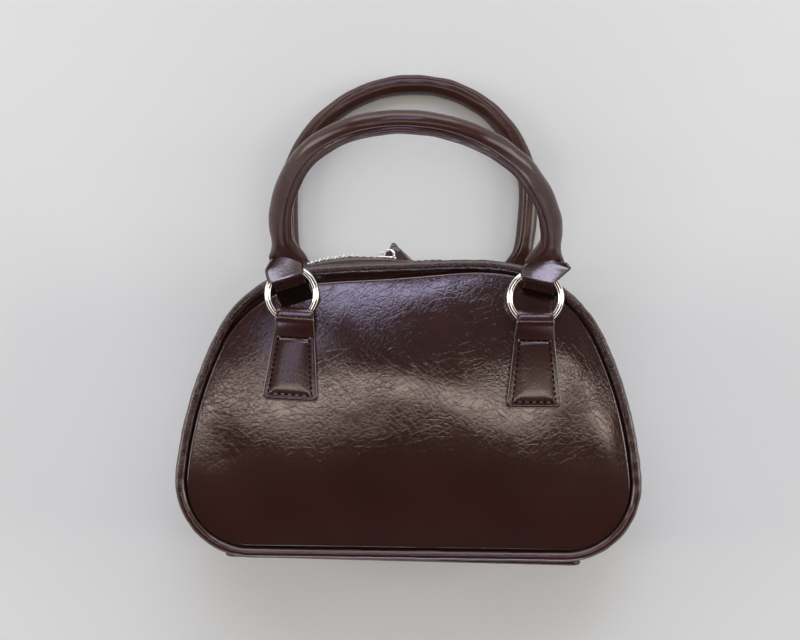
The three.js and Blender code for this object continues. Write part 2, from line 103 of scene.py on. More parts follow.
# x, y, reach across, reach up, lift of the soft hollows and swellings of the front panel
FRONT_DENTS = (
    (-34, 60, 24, 24, -0.3),
    (30, 52, 26, 26, -0.3),
    (-4, 78, 30, 30, 0.25),
    (72, 62, 20, 20, 0.25),
    (-76, 58, 20, 20, 0.2),
    (-78, 32, 22, 20, -0.6),
    (76, 32, 22, 20, -0.55),
)
PANEL_RIPPLE = {"wavelength": 34, "height": 0.05, "seed": 3}

# x, reach and shift up the panel of the soft waves across its crest
CREST_WAVES = (
    (-86, 8, 11),
    (-50, 14, -6),
    (-28, 16, -4),
    (31, 20, -9),
    (76, 13, 18),
    (93, 9, -16),
)
CREST = Named(y=77, reach=34, curve=0.00365)

# Gusset: place along the outline, bulge out of it, power of its curve across
GUSSET_BULGE = (
    (-225, 1.2, 7),
    (-205, 2.8, 3.4),
    (-165, 4.0, 2.4),
    (-104, 3, 2.2),
    (-70, 2.6, 2.2),
    (-49, 2.7, 2.2),
    (-40, 4.4, 2.2),
    (-28, 5.3, 2.2),
    (-12, 4.4, 2.2),
    (5, 3, 2.2),
    (25, 2.4, 2.2),
    (104, 3, 2.2),
    (165, 4.0, 2.4),
    (205, 2.8, 3.4),
    (225, 1.2, 7),
)
GUSSET_EDGE_INSET = 1
GUSSET_STEPS = 130
GUSSET_COLUMNS = 30
GUSSET_RIPPLE = {"wavelength": 24, "height": 0.3, "seed": 11}
GAP = 0.35

# Base patch
BASE = Named(middle=-2, half=82, corner=5, drop=2.6, margin=8, skew=0.012)
BASE_CORNER_LEAST = 0.4
BASE_CORNER_STEPS = 8
BASE_SIDE_STEPS = 30

# Inset from the patch's edge, drop below the gusset
BASE_EDGE = (
    (0.3, 0.6), (0, 1.2), (0.1, 1.9), (0.5, 2.4),
    (1.2, 2.6), (2.4, 2.55), (3.1, 2.35), (3.8, 2.55),
)

# Insets of the flat face's rows from the last row of the edge
BASE_FACE_INSETS = (4, 20)
BASE_STITCH = Named(inset=3.1, drop=2.35)

# Zip
ZIP_END = 104
ZIP_STEPS = 120
ZIP_COLUMNS = 40
ZIP_STRIP_EDGE = 6.4
ZIP_TAPE = Named(inner=2.1, lap=0.6, under=0.3, wall=1.0, columns=5)
ZIP_TEETH = Named(start=-98, end=98, pitch=3.8, clear_of_slider=6)

# Place along the zip, level of the teeth above the strips
TEETH_LEVEL = ((-98, -0.9), (-62, -0.9), (-54, 0.5), (-32, 0.5), (-22, -0.7), (98, -1.1))
ZIP_SLIDER_AT = -12
ZIP_MOUTH = 6.4
ZIP_MOUTH_POWER = 0.8
STRIP_STITCH = Named(away=2.2, from_end=2, sunk=0.1)

# Distance from the zip, height and width of the soft folds along the strips beside it
STRIP_FOLDS = (
    (1.0, 0.12, 0.8),
    (2.2, -0.2, 0.6),
    (15.5, 0.4, 1.4),
    (18, -0.3, 1.2),
    (20.5, 0.35, 1.3),
)

# Distance from the tape's edge towards the other row, half width along the zip, half height of a tooth
TOOTH_ROWS = (
    (1.0, 0.32, 0.7),
    (0.8, 0.44, 1.0),
    (-0.6, 0.42, 1.0),
    (-2.2, 0.38, 0.95),
    (-2.9, 0.42, 0.9),
    (-3.1, 0.28, 0.6),
)
TOOTH_SIDES = 8
TOOTH_SQUARE = 0.6

# Rings, and where the tabs hang from them
RING = Named(radius=11.5, wire=1.5, y=119.2)
RING_SEGMENTS = 96
RING_SIDES = 20
RING_STANDS = 3.6
RING_SQUEEZE = {(FRONT, "left"): 0.94}

# face, side, x, shift of the tab, turn of the tab in degrees, y of its foot
HARDWARE = (
    (FRONT, "left", -53.5, 2.1, 2.8, 71.4),
    (FRONT, "right", 55.6, 0, 0, 69.5),
    (BACK, "left", -56.6, 0, 0, 69.5),
    (BACK, "right", 52.6, 0, 0, 69.5),
)

# Tab: a trapezoid with a raised border and a sewn line, and a loop round the foot of the ring
TAB_HALF_AT_FOOT = 12.95
TAB_TAPER = 0.113
TAB_HALF_LEAST = 8.2
TAB_CORNER = 3.4
TAB_CORNER_ROWS = 9
TAB_ROWS = 34
TAB_COLUMNS = 45
TAB_SUNK = 0.3
TAB_FOOT_THICKER = 0.3
TAB_STITCH_INSET = 2.9
TAB_FOOT_STITCH_INSET = 3.0

# Sewn line under the loop: distance below the tab's top, width, depth, distance from the tab's sides
TAB_SEWN = Named(below=0.6, width=0.8, depth=0.8, clear=2.5)

# Distance in from the tab's edge, height above the panel
TAB_PROFILE = (
    (0, 0.4), (0.1, 1.4), (0.25, 2.05), (0.5, 2.35), (0.9, 2.48), (1.5, 2.52), (2.1, 2.47),
    (2.9, 2.37), (3.4, 2.42), (4.2, 2.54), (5.6, 2.64), (8, 2.7), (14, 2.73),
)

# Loop of a tab round the ring's wire, in places ahead of the wire
TAB_LOOP_FROM = -7.2
TAB_LOOP_REACH = 4.4
TAB_LOOP_TAIL = (-3, -6, -8.5)
TAB_LOOP_CLEAR = 0.25
TAB_LOOP_WALL = 1.5
TAB_LOOP_EDGE = 0.25
TAB_LOOP_WRAP_STEPS = 14
TAB_CLIMB = Named(low=0.6, after_start=0.7, end=-0.4, steps=12)

# Handles: radius of the arch, length of the legs, half of their spread at the rings, tilt in degrees,
# shift across, lean of the arch to one side, share by which the arch is squeezed
HANDLES = {
    FRONT: Named(arch=58.6, leg=34.8, spread=59.4, tilt=53, shift=1.0, lean=-6.6, squeeze=0.052),
    BACK: Named(arch=60.4, leg=36, spread=56.2, tilt=0.5, shift=0, lean=3.3, squeeze=-0.014),
}
HANDLE_LEAN_POWER = 2
HANDLE_SHOULDERS = (24, 60)
HANDLE_SIDES = 90
HANDLE_STEP = 1.2
HANDLE_END_ROWS = 5

# Distances from the ring between which the seam sets in
HANDLE_SEAM_STARTS = (6, 14)

# Turn of the seam round the handle at its legs and at the top of its arch, in degrees,
# and the shares of the way from top to ring between which it turns
HANDLE_SEAM_TURN = {FRONT: (126, 80), BACK: (248, 304)}
HANDLE_TWIST = (0.1, 0.75)

# Degrees inwards from the seam, width in degrees and height of its grooves and of the lip between them
SEAM_PROFILE = {
    FRONT: ((-9, 5, -0.6), (7, 9, 0.45), (24, 5, -0.6)),
    BACK: ((0, 5, -0.5), (12, 8, 0.15)),
}
HANDLE_RIPPLE = {"wavelength": 15, "height": 0.1, "seed": 23}

# Distance from the ring, half width, rise to the front, rise to the back, squareness, shift inwards
HANDLE_ENDS = {
    FRONT: (
        (2.5, 6.6, 0.8, 1.0, 4, 2.3),
        (5, 8.4, 1.2, 1.7, 4, 2.2),
        (8, 8.4, 1.7, 2.2, 3.5, 2.0),
        (12, 6.9, 2.7, 2.8, 2.8, 1.6),
        (16, 5.6, 3.8, 3.6, 2.4, 0.9),
        (21, 4.8, 4.7, 4.6, 2.1, 0.2),
        (26, 4.9, 4.9, 4.9, 2, 0),
    ),
    BACK: (
        (2.5, 5.6, 1.0, 1.0, 4, 2.0),
        (5, 6.6, 1.7, 1.7, 4, 1.8),
        (9, 5.6, 2.6, 2.6, 3, 1.0),
        (12, 4.9, 3.6, 3.6, 2.5, 0.4),
        (15, 4.8, 4.3, 4.3, 2.2, 0.1),
        (20, 4.8, 4.7, 4.7, 2, 0),
        (26, 4.9, 4.9, 4.9, 2, 0),
    ),
}

# Loops of the handles round the rings: up from the ring's wire, height above it, reach left, reach right
BACK_LOOP_OVER = (
    (4.8, 2.9, -7.6, 7.6),
    (2.4, 2.9, -7.6, 7.6),
    (-2.6, 2.4, -7.5, 7.5),
    (-4.4, 1.4, -7.4, 7.4),
)
LOOP_OVER = {
    (FRONT, "left"): (
        (5.6, 10.2, -3.8, 9.6),
        (3.8, 8.8, -6.2, 10.0),
        (1.8, 7.2, -8.4, 9.2),
        (-0.2, 5.6, -9.0, 8.4),
        (-2.2, 4.0, -9.2, 7.9),
        (-3.8, 2.7, -9.1, 7.5),
        (-4.8, 1.3, -8.8, 7.3),
    ),
    (FRONT, "right"): (
        (5.6, 10.2, -5.0, 8.4),
        (4.0, 9.0, -6.6, 10.4),
        (1.8, 7.2, -9.0, 9.2),
        (-0.2, 5.6, -10.4, 7.9),
        (-2.2, 4.0, -10.6, 6.7),
        (-3.8, 2.7, -10.2, 5.7),
        (-4.8, 1.3, -9.8, 5.4),
    ),
    (BACK, "left"): BACK_LOOP_OVER,
    (BACK, "right"): BACK_LOOP_OVER,
}
LOOP_UNDER = (
    (-4.8, 0, -7.4, 6.6),
    (-4.3, -1.5, -7.0, 6.4),
    (-2.4, -2.3, -6.8, 6.4),
    (0, -2.5, -6.8, 6.4),
    (3, -2.0, -6.6, 6.4),
    (4.6, 0.2, -6.4, 6.4),
)
LOOP_WALL = 1.3
LOOP_STEPS = 64
LOOP_SAG = {FRONT: 1.3, BACK: 0}

# Inner layer of the loops, and a dark sheet that hangs lower inside the ring: painted shade for the deep
# shadow under the loop
LOOP_TONGUE = (
    (-2.6, -0.2, -7.6, 6.8),
    (-5, -0.5, -7.6, 6.8),
    (-7, -1.2, -7.5, 6.7),
    (-8.8, -2.1, -7.4, 6.6),
)
SHADE_SHEET_ROOT = (
    (-4.6, -2.0, -7.6, 7.4),
    (-7, -2.6, -7.6, 7.4),
    (-9, -3.2, -7.6, 7.4),
)
LOOP_SHADE_SHEET = {
    "left": (*SHADE_SHEET_ROOT, (-12, -3.8, -7.5, 7.6), (-16, -4.0, -7.0, 7.6)),
    "right": (*SHADE_SHEET_ROOT, (-11, -3.7, -6.0, 7.6)),
}
TONGUE_WALL = 1.0
TONGUE_STEPS = 20

# Turn in degrees and shift outwards from the ring of a loop
LOOP_PLACES = {
    (FRONT, "left"): (19, 3.0),
    (FRONT, "right"): (-13, 3.9),
    (BACK, "left"): (3, 0),
    (BACK, "right"): (-3, 0),
}
STRAP_COLUMNS = 19
STRAP_EDGE_POWER = 14

# Slider and pull of the zip, in the slider's frame: x along the zip, y out of it, z towards the front
SLIDER_SEAT = -1.0

# x, half width and height of the slider's plate
SLIDER_PLATE = (
    (-5.3, 1.6, 0.9),
    (-5.0, 2.1, 1.5),
    (-3, 2.6, 1.7),
    (-0.5, 3.1, 1.8),
    (2, 4.0, 1.8),
    (3.8, 4.1, 1.7),
    (4.8, 3.7, 1.5),
    (5.2, 3.1, 0.9),
)
SLIDER_SIDES = 24

# Powers that square the plate's section, across and up
SLIDER_SQUARE = (0.5, 0.6)

# x, y of the bridge over the plate
SLIDER_BRIDGE = ((-3.4, 1.2), (-2.6, 2.6), (-1, 3.3), (1, 3.3), (2.6, 2.6), (3.4, 1.2))
SLIDER_BRIDGE_HALF = 1.0
SLIDER_BRIDGE_WALL = 0.9
SLIDER_BRIDGE_STEPS = 24
PULL_RING = Named(radius=2.5, wire=0.6, x=1.6, y=2.2, z=2.6)
PULL_RING_LEANS = (0.1, 0.95, -0.3)

# x, y, z and half width of the leather pull, which stands up from the ring and falls back along the zip
PULL_PATH = (
    (4.8, -2.4, 2.7, 9.0),
    (4.7, -0.2, 1.9, 7.4),
    (4.2, 3.6, 0.5, 4.0),
    (3.6, 7.2, -0.8, 0.9),
    (3.8, 6.6, -2.8, 1.6),
    (4.6, 3.2, -7, 3.2),
    (5.6, 1.0, -14, 3.4),
    (6.6, -1.6, -22, 3.4),
    (7.4, -3.4, -28.5, 3.4),
)
PULL_WALL = 1.7
PULL_STEPS = 64

# Stitches
STITCH = Named(length=1.9, radius=0.48, rows=7, blunt=0.12, taper=0.6)
LONG_STITCH = 2.2
STITCH_SIDES = 6
STITCH_PITCH = 2.4
WIDE_STITCH_PITCH = 3.2

# Distance to the next point of a line, for its direction
LOOK_AHEAD = 0.2

# Edges that turn by more degrees than this are sharp
SHARP_EDGE = 50

# turn, cell, stretch, width and depth of the creases, and how they come in patches: size, from, to
PANEL_CREASES = (
    (48, 2.0, 2.4, 0.11, 0.012, 9, 0.40, 0.52),
    (-42, 1.8, 2.4, 0.11, 0.012, 10, 0.40, 0.52),
    (8, 1.3, 1.6, 0.14, 0.010, 11, 0.42, 0.56),
    (-70, 3.2, 2.6, 0.07, 0.016, 16, 0.46, 0.56),
    (30, 2.8, 3.0, 0.07, 0.016, 16, 0.46, 0.56),
)
SMALL_CREASES = (
    (48, 1.6, 2.2, 0.12, 0.009, 9, 0.44, 0.58),
    (-42, 1.4, 2.2, 0.12, 0.009, 10, 0.44, 0.58),
)
PIPING_CREASES = (
    (48, 0.7, 2.0, 0.3, 0.05, 8, 0.35, 0.5),
    (-42, 0.7, 2.0, 0.3, 0.05, 8, 0.35, 0.5),
)
CREASE_LEAN = (0.3, 0.2)
# Share of the darker tone painted into the creases as shade
CREASE_SHADE_SHARE = 0.5
PATCH_SHIFT = 37

# Row y over which the creases set in above the smooth lower part of the bag, and their least share
CREASES_SET_IN = (-105, -38)
CREASES_LEAST = 0.12

# Sizes of the leather's grain, unevenness, warp of its creases, clouds of tone and dull patches
LEATHER_SIZES = Named(grain=0.6, uneven=6, warp=5, clouds=30, dull=9)
CREASE_WARP = 0.8
COAT_IOR = 1.75
UNDER_COAT_SPECULAR = 0.05

# Depths of the grain and of the unevenness
FINE_GRAIN = (0.002, 0.02)
PIPING_GRAIN = (0.004, 0.03)

# Two clouded tones, and a darker tone painted into the creases as shade
BROWN = ((0.032, 0.0100, 0.0073, 1), (0.039, 0.0134, 0.0101, 1), (0.012, 0.004, 0.003, 1))
# Lighter copies of the brown tones for the handles: painted light for their brighter lit legs
BROWN_WITH_PAINTED_LIGHT = ((0.043, 0.0150, 0.0113, 1), (0.051, 0.0190, 0.0150, 1), (0.016, 0.006, 0.0045, 1))

# Tones and roughness of the other materials, from and to
METAL = Named(tones=((0.76, 0.75, 0.735, 1), (0.84, 0.835, 0.82, 1)), roughness=(0.07, 0.16), smears=4)
CLOTH = Named(tones=((0.012, 0.007, 0.006, 1), (0.035, 0.02, 0.017, 1)), roughness=(0.85, 0.65))
CLOTH_RIBS = Named(lean=(0.4, 0.3), turns=(40, -50), scale=0.55, warp=0.6, relief=0.12)
CLOTH_SHEEN = {"Sheen_Weight": 0.3, "Sheen_Roughness": 0.5}
# Thread tones: the thread's own dark colour, painted near black as the shade in the stitch holes
YARN = Named(tones=((0.004, 0.0015, 0.001, 1), (0.01, 0.004, 0.003, 1)), roughness=(0.95, 0.8))
YARN_PLIES = Named(scale=1.4, warp=1.0, relief=0.06)
PAPER = Named(tones=((0.785, 0.846, 0.81, 1), (0.795, 0.856, 0.82, 1)), roughness=0.9, clouds=180)
DULL_SPECULAR = 0.1

# Sockets of a node that mixes colours
MIX_SHARE = 0
MIX_A = 6
MIX_B = 7
MIX_RESULT = 2

# Usual low and high of noise
NOISE_RANGE = (0.3, 0.7)

# Camera, at the photograph's height above the bag
CAMERA = Named(x=-4.85, y=108.3, z=735, turn=0.8, lens=65.1, sensor=36)

# Stage, in metres, with the room's light at the horizon and from behind and ahead
FLOOR_HALF = 6.0
ROOM_COLOUR = (1.0, 0.93, 0.90, 1)
ROOM_HORIZON = Named(up_to=0.6, strength=1.4)
ROOM_AHEAD = Named(turns=(-0.3, 0.3), strength=(0.02, 0.07))
WARM_WALL = (1.0, 0.95, 0.92)

# name, place, aim, width, height, watts, colour, roll in degrees
LIGHTS = (
    ("ceiling", (0, 0, 1.6), (0, -0.037, 0.08), 2.2, 0.14, 4.6, (1.0, 0.81, 0.72), 0),
    ("window", (0, 1.0, 1.6), (0, 0, 0.08), 1.0, 0.3, 4.7, (0.72, 0.68, 1.0), 33),
    ("side_window", (-0.49, 0.32, 1.6), (0, 0, 0.08), 0.4, 0.16, 0.38, (0.74, 0.7, 1.0), 55),
    ("far_window", (0, 1.9, 0.95), (0, 0, 0.08), 3.2, 1.0, 29.5, (0.95, 0.91, 0.98), 0),
    ("low_window", (0.12, -2.2, 0.55), (0, 0, 0.1), 1.5, 0.45, 17, (0.80, 0.74, 1.0), 0),
    ("left_wall", (-1.8, 0.1, 0.8), (0, 0, 0.08), 1.2, 0.8, 12, WARM_WALL, 0),
    ("right_wall", (1.8, 0.1, 0.8), (0, 0, 0.08), 1.2, 0.8, 12, WARM_WALL, 0),
)

ROW_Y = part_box("base_panel")[0][1] / MM + BASE.drop


# Small helpers

def ramp(value, low, high):
    t = np.clip((np.asarray(value, float) - low) / (high - low), 0, 1)
    return t * t * (3 - 2 * t)


def bell(away, width):
    return np.exp(-(away / width) ** 2)


def look_up(rows, at):
    """The later columns of a table, each read at places in its first column."""
    table = np.array(rows, float)
    return [np.interp(at, table[:, 0], values) for values in table[:, 1:].T]


def unit(vectors):
    return vectors / np.linalg.norm(vectors, axis=-1, keepdims=True)


def stack(x, y, z):
    return np.stack(np.broadcast_arrays(x, y, z), axis=-1)


def full_turn(count):
    return np.linspace(0, 2 * math.pi, count, endpoint=False)


def half_step_turn(count):
    """A full turn that starts half a step on, so that a squared section has flat sides."""
    return (np.arange(count) + 0.5) * 2 * math.pi / count


def spaced(count):
    """Places from -1 to 1, closer together towards both ends."""
    return np.sin(np.linspace(-math.pi / 2, math.pi / 2, count))


def squared(values, power):
    """Sines or cosines pushed out towards a square."""
    return np.sign(values) * np.abs(values) ** power


def round_edge(share):
    """Share of a band's thickness across it, which is rounded at its edges."""
    return np.sqrt(1 - np.abs(share) ** STRAP_EDGE_POWER)


def ripple(points, wavelength, height, seed):
    """Smooth noise at points, made of plane waves of about one length."""
    draw = np.random.RandomState(seed)
    towards = unit(draw.normal(size=(RIPPLE_WAVES, 3)))
    lengths = wavelength * draw.uniform(*RIPPLE_LENGTHS, RIPPLE_WAVES)
    phases = draw.uniform(0, 2 * math.pi, RIPPLE_WAVES)
    turns = np.asarray(points) @ (towards * (2 * math.pi / lengths)[:, None]).T + phases
    return height * np.sin(turns).sum(axis=-1) / math.sqrt(RIPPLE_WAVES / 2)


def walk(start, segments):
    """Samples of a plane curve that leaves towards +x: length, x, y and heading, clockwise.

    segments are pairs of a length and the turn along it in radians.
    """
    lengths = np.concatenate([[0], np.cumsum([length for length, _ in segments])])
    turns = np.concatenate([[0], np.cumsum([turn for _, turn in segments])])
    along = np.linspace(0, lengths[-1], int(lengths[-1] / WALK_STEP) + 1)
    heading = np.interp(along, lengths, turns)
    middle = (heading[1:] + heading[:-1]) / 2
    step = np.diff(along)
    x = start[0] + np.concatenate([[0], np.cumsum(np.cos(middle) * step)])
    y = start[1] - np.concatenate([[0], np.cumsum(np.sin(middle) * step)])
    return along, x, y, heading


def lengths_along(path):
    return np.concatenate([[0], np.cumsum(np.linalg.norm(np.diff(path, axis=0), axis=1))])


def read_path(path, along, at):
    """Points of a path at lengths along it."""
    return np.stack([np.interp(at, along, values) for values in path.T], axis=1)


def smooth_path(points, count):
    """A smooth curve through points, as evenly spaced points."""
    p = np.array(points, float)
    p = np.vstack([2 * p[0] - p[1], p, 2 * p[-1] - p[-2]])
    t = np.linspace(0, 1, PATH_STEPS, endpoint=False)[:, None]
    runs = []
    for a, b, c, d in zip(p, p[1:], p[2:], p[3:]):
        bend = 2 * a - 5 * b + 4 * c - d
        twist = 3 * b - a - 3 * c + d
        runs.append((2 * b + (c - a) * t + bend * t ** 2 + twist * t ** 3) / 2)
    dense = np.vstack([*runs, p[-2:-1]])
    along = lengths_along(dense)
    return read_path(dense, along, np.linspace(0, along[-1], count))


# Mesh helpers

def section(upper, lower):
    """A closed section of an upper and a lower side that meet at their ends."""
    return np.vstack([upper, lower[-2:0:-1]])


def loft(rows, looped=False):
    """Points and faces through closed sections, capped at both ends unless the rows run in a loop."""
    rows = np.asarray(rows, float)
    count, around = rows.shape[:2]
    faces = []
    for row in range(count if looped else count - 1):
        here = row * around
        there = ((row + 1) % count) * around
        for k in range(around):
            k2 = (k + 1) % around
            faces.append((here + k, here + k2, there + k2, there + k))
    if not looped:
        faces.append(tuple(range(around)))
        faces.append(tuple(range((count - 1) * around, count * around)))
    return rows.reshape(-1, 3), faces


def joined(shapes):
    points, faces, start = [], [], 0
    for some_points, some_faces in shapes:
        points.append(some_points)
        faces.extend(tuple(corner + start for corner in face) for face in some_faces)
        start += len(some_points)
    return np.vstack(points), faces


def in_scene(name, data):
    made = bpy.data.objects.new(name, data)
    bpy.context.scene.collection.objects.link(made)
    return made


def piece(name, shape, material, slot, *nodes):
    """A smooth mesh object in the row frame that rides on the bag."""
    points, faces = shape
    mesh = bpy.data.meshes.new(name)
    mesh.from_pydata(((points + (0, ROW_Y, 0)) * MM).tolist(), [], faces)
    shell = bmesh.new()
    shell.from_mesh(mesh)
    bmesh.ops.recalc_face_normals(shell, faces=shell.faces)
    for face in shell.faces:
        face.smooth = True
    shell.to_mesh(mesh)
    shell.free()
    mesh.set_sharp_from_angle(angle=math.radians(SHARP_EDGE))
    mesh.materials.append(material)
    made = in_scene(name, mesh)
    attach(made, "root")
    if nodes:
        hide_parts(*nodes)


def torus(centre, radius, wire, axis_a, axis_b):
    """A ring in the plane of two axes; an axis that is shorter than 1 squeezes it that way."""
    axis_a, axis_b = np.array(axis_a, float), np.array(axis_b, float)
    normal = unit(np.cross(axis_a, axis_b))
    round_the_ring = full_turn(RING_SEGMENTS)[:, None, None]
    round_the_wire = full_turn(RING_SIDES)[None, :, None]
    away = np.cos(round_the_ring) * axis_a + np.sin(round_the_ring) * axis_b
    outwards = unit(away) * wire * np.cos(round_the_wire)
    aside = normal * wire * np.sin(round_the_wire)
    return loft(away * radius + outwards + aside + centre, looped=True)


def strap(table, count, wall, origin, lateral, ahead, up, sag=0.0):
    """A flat band with rounded edges.

    Each row of the table is a place ahead, a place up, and the band's reach to its left and right there.
    Its sides lie lower than its middle by the sag.
    """
    spine = smooth_path(table, count)
    path = spine[:, :2]
    towards = unit(np.gradient(path, axis=0))
    normal = np.stack([-towards[:, 1], towards[:, 0]], axis=1)
    share = spaced(STRAP_COLUMNS)
    thick = (wall / 2 * round_edge(share))[:, None]
    rows = []
    for place, aside, (left, right) in zip(path, normal, spine[:, 2:]):
        across = (left + right) / 2 + share * (right - left) / 2
        middle = origin + lateral * across[:, None] - up * (sag * share ** 2)[:, None]
        sides = (place + aside * thick, place - aside * thick)
        rows.append(section(*(middle + side[:, :1] * ahead + side[:, 1:] * up for side in sides)))
    return loft(rows)


def stitch_run(spots, towards, up, length=STITCH.length):
    """Stitches at spots, each along its own direction."""
    turn = full_turn(STITCH_SIDES)[:, None]
    ends = np.linspace(STITCH.blunt, math.pi - STITCH.blunt, STITCH.rows)
    shapes = []
    rises = np.broadcast_to(unit(np.array(up, float)), np.shape(spots))
    for spot, ahead, rise in zip(spots, unit(np.array(towards)), rises):
        round_it = np.cos(turn) * np.cross(ahead, rise) + np.sin(turn) * rise
        rows = []
        for end in ends:
            radius = STITCH.radius * math.sin(end) ** STITCH.taper
            rows.append(spot - ahead * math.cos(end) * length / 2 + round_it * radius)
        shapes.append(loft(rows))
    return joined(shapes)


# Shapes that the pieces share

def outline_samples():
    arcs = [(radius * math.radians(turn), math.radians(turn)) for radius, turn in OUTLINE_ARCS]
    end_x = walk((0, PANEL_HEIGHT), arcs)[1][-1]
    return walk((0, PANEL_HEIGHT), [*arcs, (end_x, 0)])


OUTLINE = outline_samples()
HALF_OUTLINE = OUTLINE[0][-1]


def outline_at(along, out=0.0):
    """x and y of the outline, moved out by some distance; along is negative on the left half."""
    along = np.asarray(along, float)
    lengths, xs, ys, headings = OUTLINE
    away = np.abs(along)
    heading = np.interp(away, lengths, headings)
    x = np.interp(away, lengths, xs) + out * np.sin(heading)
    y = np.interp(away, lengths, ys) + out * np.cos(heading)
    return np.where(along < 0, -1.0, 1.0) * x, y


def outline_ring(steps):
    return (2 * np.arange(steps) / steps - 1) * HALF_OUTLINE


def lifted(x, y, z):
    """y of a point of the body, raised where the front seam is pulled up."""
    lift = TOP_LIFT
    near = bell(x - lift.x, lift.reach)
    return y + lift.height * near * ramp(y, *lift.y) * ramp(z, *lift.z)


def seam_z(face, y):
    return FRONT_SEAM_Z + 0 * y if face == FRONT else BACK_SEAM_Z + BACK_SEAM_RISE * y / PANEL_HEIGHT


def edge_by_angle():
    x, y = outline_at(np.linspace(0, HALF_OUTLINE, PANEL_EDGE_SAMPLES), -PANEL_INSET)
    return np.arctan2(x, y - PANEL_CENTRE_Y), np.hypot(x, y - PANEL_CENTRE_Y)


PANEL_ANGLES, PANEL_RADII = edge_by_angle()


def panel_z(face, x, y):
    """Height of a panel's outer face."""
    x, y = np.broadcast_arrays(np.asarray(x, float), np.asarray(y, float))
    edge = np.interp(np.arctan2(np.abs(x), y - PANEL_CENTRE_Y), PANEL_ANGLES, PANEL_RADII)
    reach = np.minimum(1, np.hypot(x, y - PANEL_CENTRE_Y) / edge)
    dome = 1 - reach ** CROWN_POWER
    fade = np.minimum(1, DENT_EDGE_FADE * dome)
    soft = fade * ripple(stack(x, y, 0 * x), **PANEL_RIPPLE)
    if face == FRONT:
        for dent_x, dent_y, across, up, lift in FRONT_DENTS:
            soft = soft + lift * fade * bell(x - dent_x, across) * bell(y - dent_y, up)
        above = y - CREST.y
        shift = sum(by * bell(x - at, width) for at, width, by in CREST_WAVES)
        soft = soft + CREST.curve * shift * above * bell(above, CREST.reach) * fade
        return seam_z(FRONT, y) + PANEL_WALL / 2 + FRONT_CROWN * dome + soft
    high = ramp(y, *BACK_CROWN_CHANGES_AT)
    crown = BACK_CROWN_LOW + (BACK_CROWN_HIGH - BACK_CROWN_LOW) * high
    return np.maximum(0, seam_z(BACK, y) - PANEL_WALL / 2 - crown * dome - soft)


def gusset_span(along):
    """Middle and half width of the gusset between its seams."""
    y = outline_at(along)[1]
    back, front = seam_z(BACK, y), seam_z(FRONT, y)
    return (back + front) / 2, (front - back) / 2 - PIPING_RADIUS - GAP


def gusset_point(along, across, out):
    """A point of the gusset; across is -1 at the back seam and 1 at the front one."""
    along, across, out = np.broadcast_arrays(*(np.asarray(v, float) for v in (along, across, out)))
    middle, half = gusset_span(along)
    bulge, power = look_up(GUSSET_BULGE, along)
    dome = 1 - np.minimum(1, np.abs(across)) ** power
    flat = stack(along, across * half, 0 * along)
    stand = bulge * dome - GUSSET_EDGE_INSET + dome * ripple(flat, **GUSSET_RIPPLE)
    x, y = outline_at(along, stand + out)
    z = middle + across * half
    return stack(x, lifted(x, y, z), z)


def gusset_out(along):
    """The direction out of the gusset at a place along the outline."""
    outer, inner = outline_at(along, 1.0), outline_at(along, 0.0)
    return stack(outer[0] - inner[0], outer[1] - inner[1], 0 * np.asarray(along, float))


def across_of(face, along, away):
    """Place across the gusset at a distance from its middle, towards one of its seams."""
    return face * away / gusset_span(along)[1]


def mouth_at(along):
    """Half of the open zip's width, nothing on its closed side."""
    share = np.clip((along - ZIP_SLIDER_AT) / (ZIP_TEETH.end - ZIP_SLIDER_AT), 0, 1)
    return ZIP_MOUTH * np.maximum(0, np.sin(math.pi * share)) ** ZIP_MOUTH_POWER


def ring_centre(face, x):
    foot = panel_z(face, x, RING.y - RING.radius)
    return np.array([x, RING.y, float(foot) + face * RING_STANDS])


# Materials

def start_material(name, **sockets):
    material = bpy.data.materials.new(name)
    material.use_nodes = True
    tree = material.node_tree
    shader = tree.nodes["Principled BSDF"]
    for socket, value in sockets.items():
        shader.inputs[socket.replace("_", " ")].default_value = value
    return material, tree, shader


def node(tree, kind, inputs, output=0, **settings):
    """A node with its inputs set to values or linked to sockets; returns one of its outputs."""
    made = tree.nodes.new(kind)
    for setting, value in settings.items():
        setattr(made, setting, value)
    for socket, value in inputs.items():
        if isinstance(value, bpy.types.NodeSocket):
            tree.links.new(value, made.inputs[socket])
        else:
            made.inputs[socket].default_value = value
    return made.outputs[output]


def math_of(tree, operation, *values):
    return node(tree, "ShaderNodeMath", dict(enumerate(values)), operation=operation)


def vector_of(tree, operation, *values):
    return node(tree, "ShaderNodeVectorMath", dict(enumerate(values)), operation=operation)


def place_in_mm(tree):
    place = node(tree, "ShaderNodeTexCoord", {}, "Object")
    return vector_of(tree, "MULTIPLY", place, 3 * (1 / MM,))


def noise(tree, place, size, detail=3.0, roughness=0.55):
    return node(tree, "ShaderNodeTexNoise", {
        "Vector": place, "Scale": 1 / size, "Detail": detail, "Roughness": roughness,
    })


def spread(tree, value, low, high, to_low, to_high):
    return node(tree, "ShaderNodeMapRange", {
        "Value": value, "From Min": low, "From Max": high, "To Min": to_low, "To Max": to_high,
    }, interpolation_type="SMOOTHSTEP")


def mixed(tree, share, colour_a, colour_b):
    inputs = {MIX_SHARE: share, MIX_A: colour_a, MIX_B: colour_b}
    return node(tree, "ShaderNodeMix", inputs, MIX_RESULT, data_type="RGBA")


def warped(tree, place, size, by):
    """Places moved about by noise."""
    shift = node(tree, "ShaderNodeTexNoise", {"Vector": place, "Scale": 1 / size}, "Color")
    centred = vector_of(tree, "SUBTRACT", shift, (0.5, 0.5, 0.5))
    return vector_of(tree, "MULTIPLY_ADD", centred, (by, by, by), place)


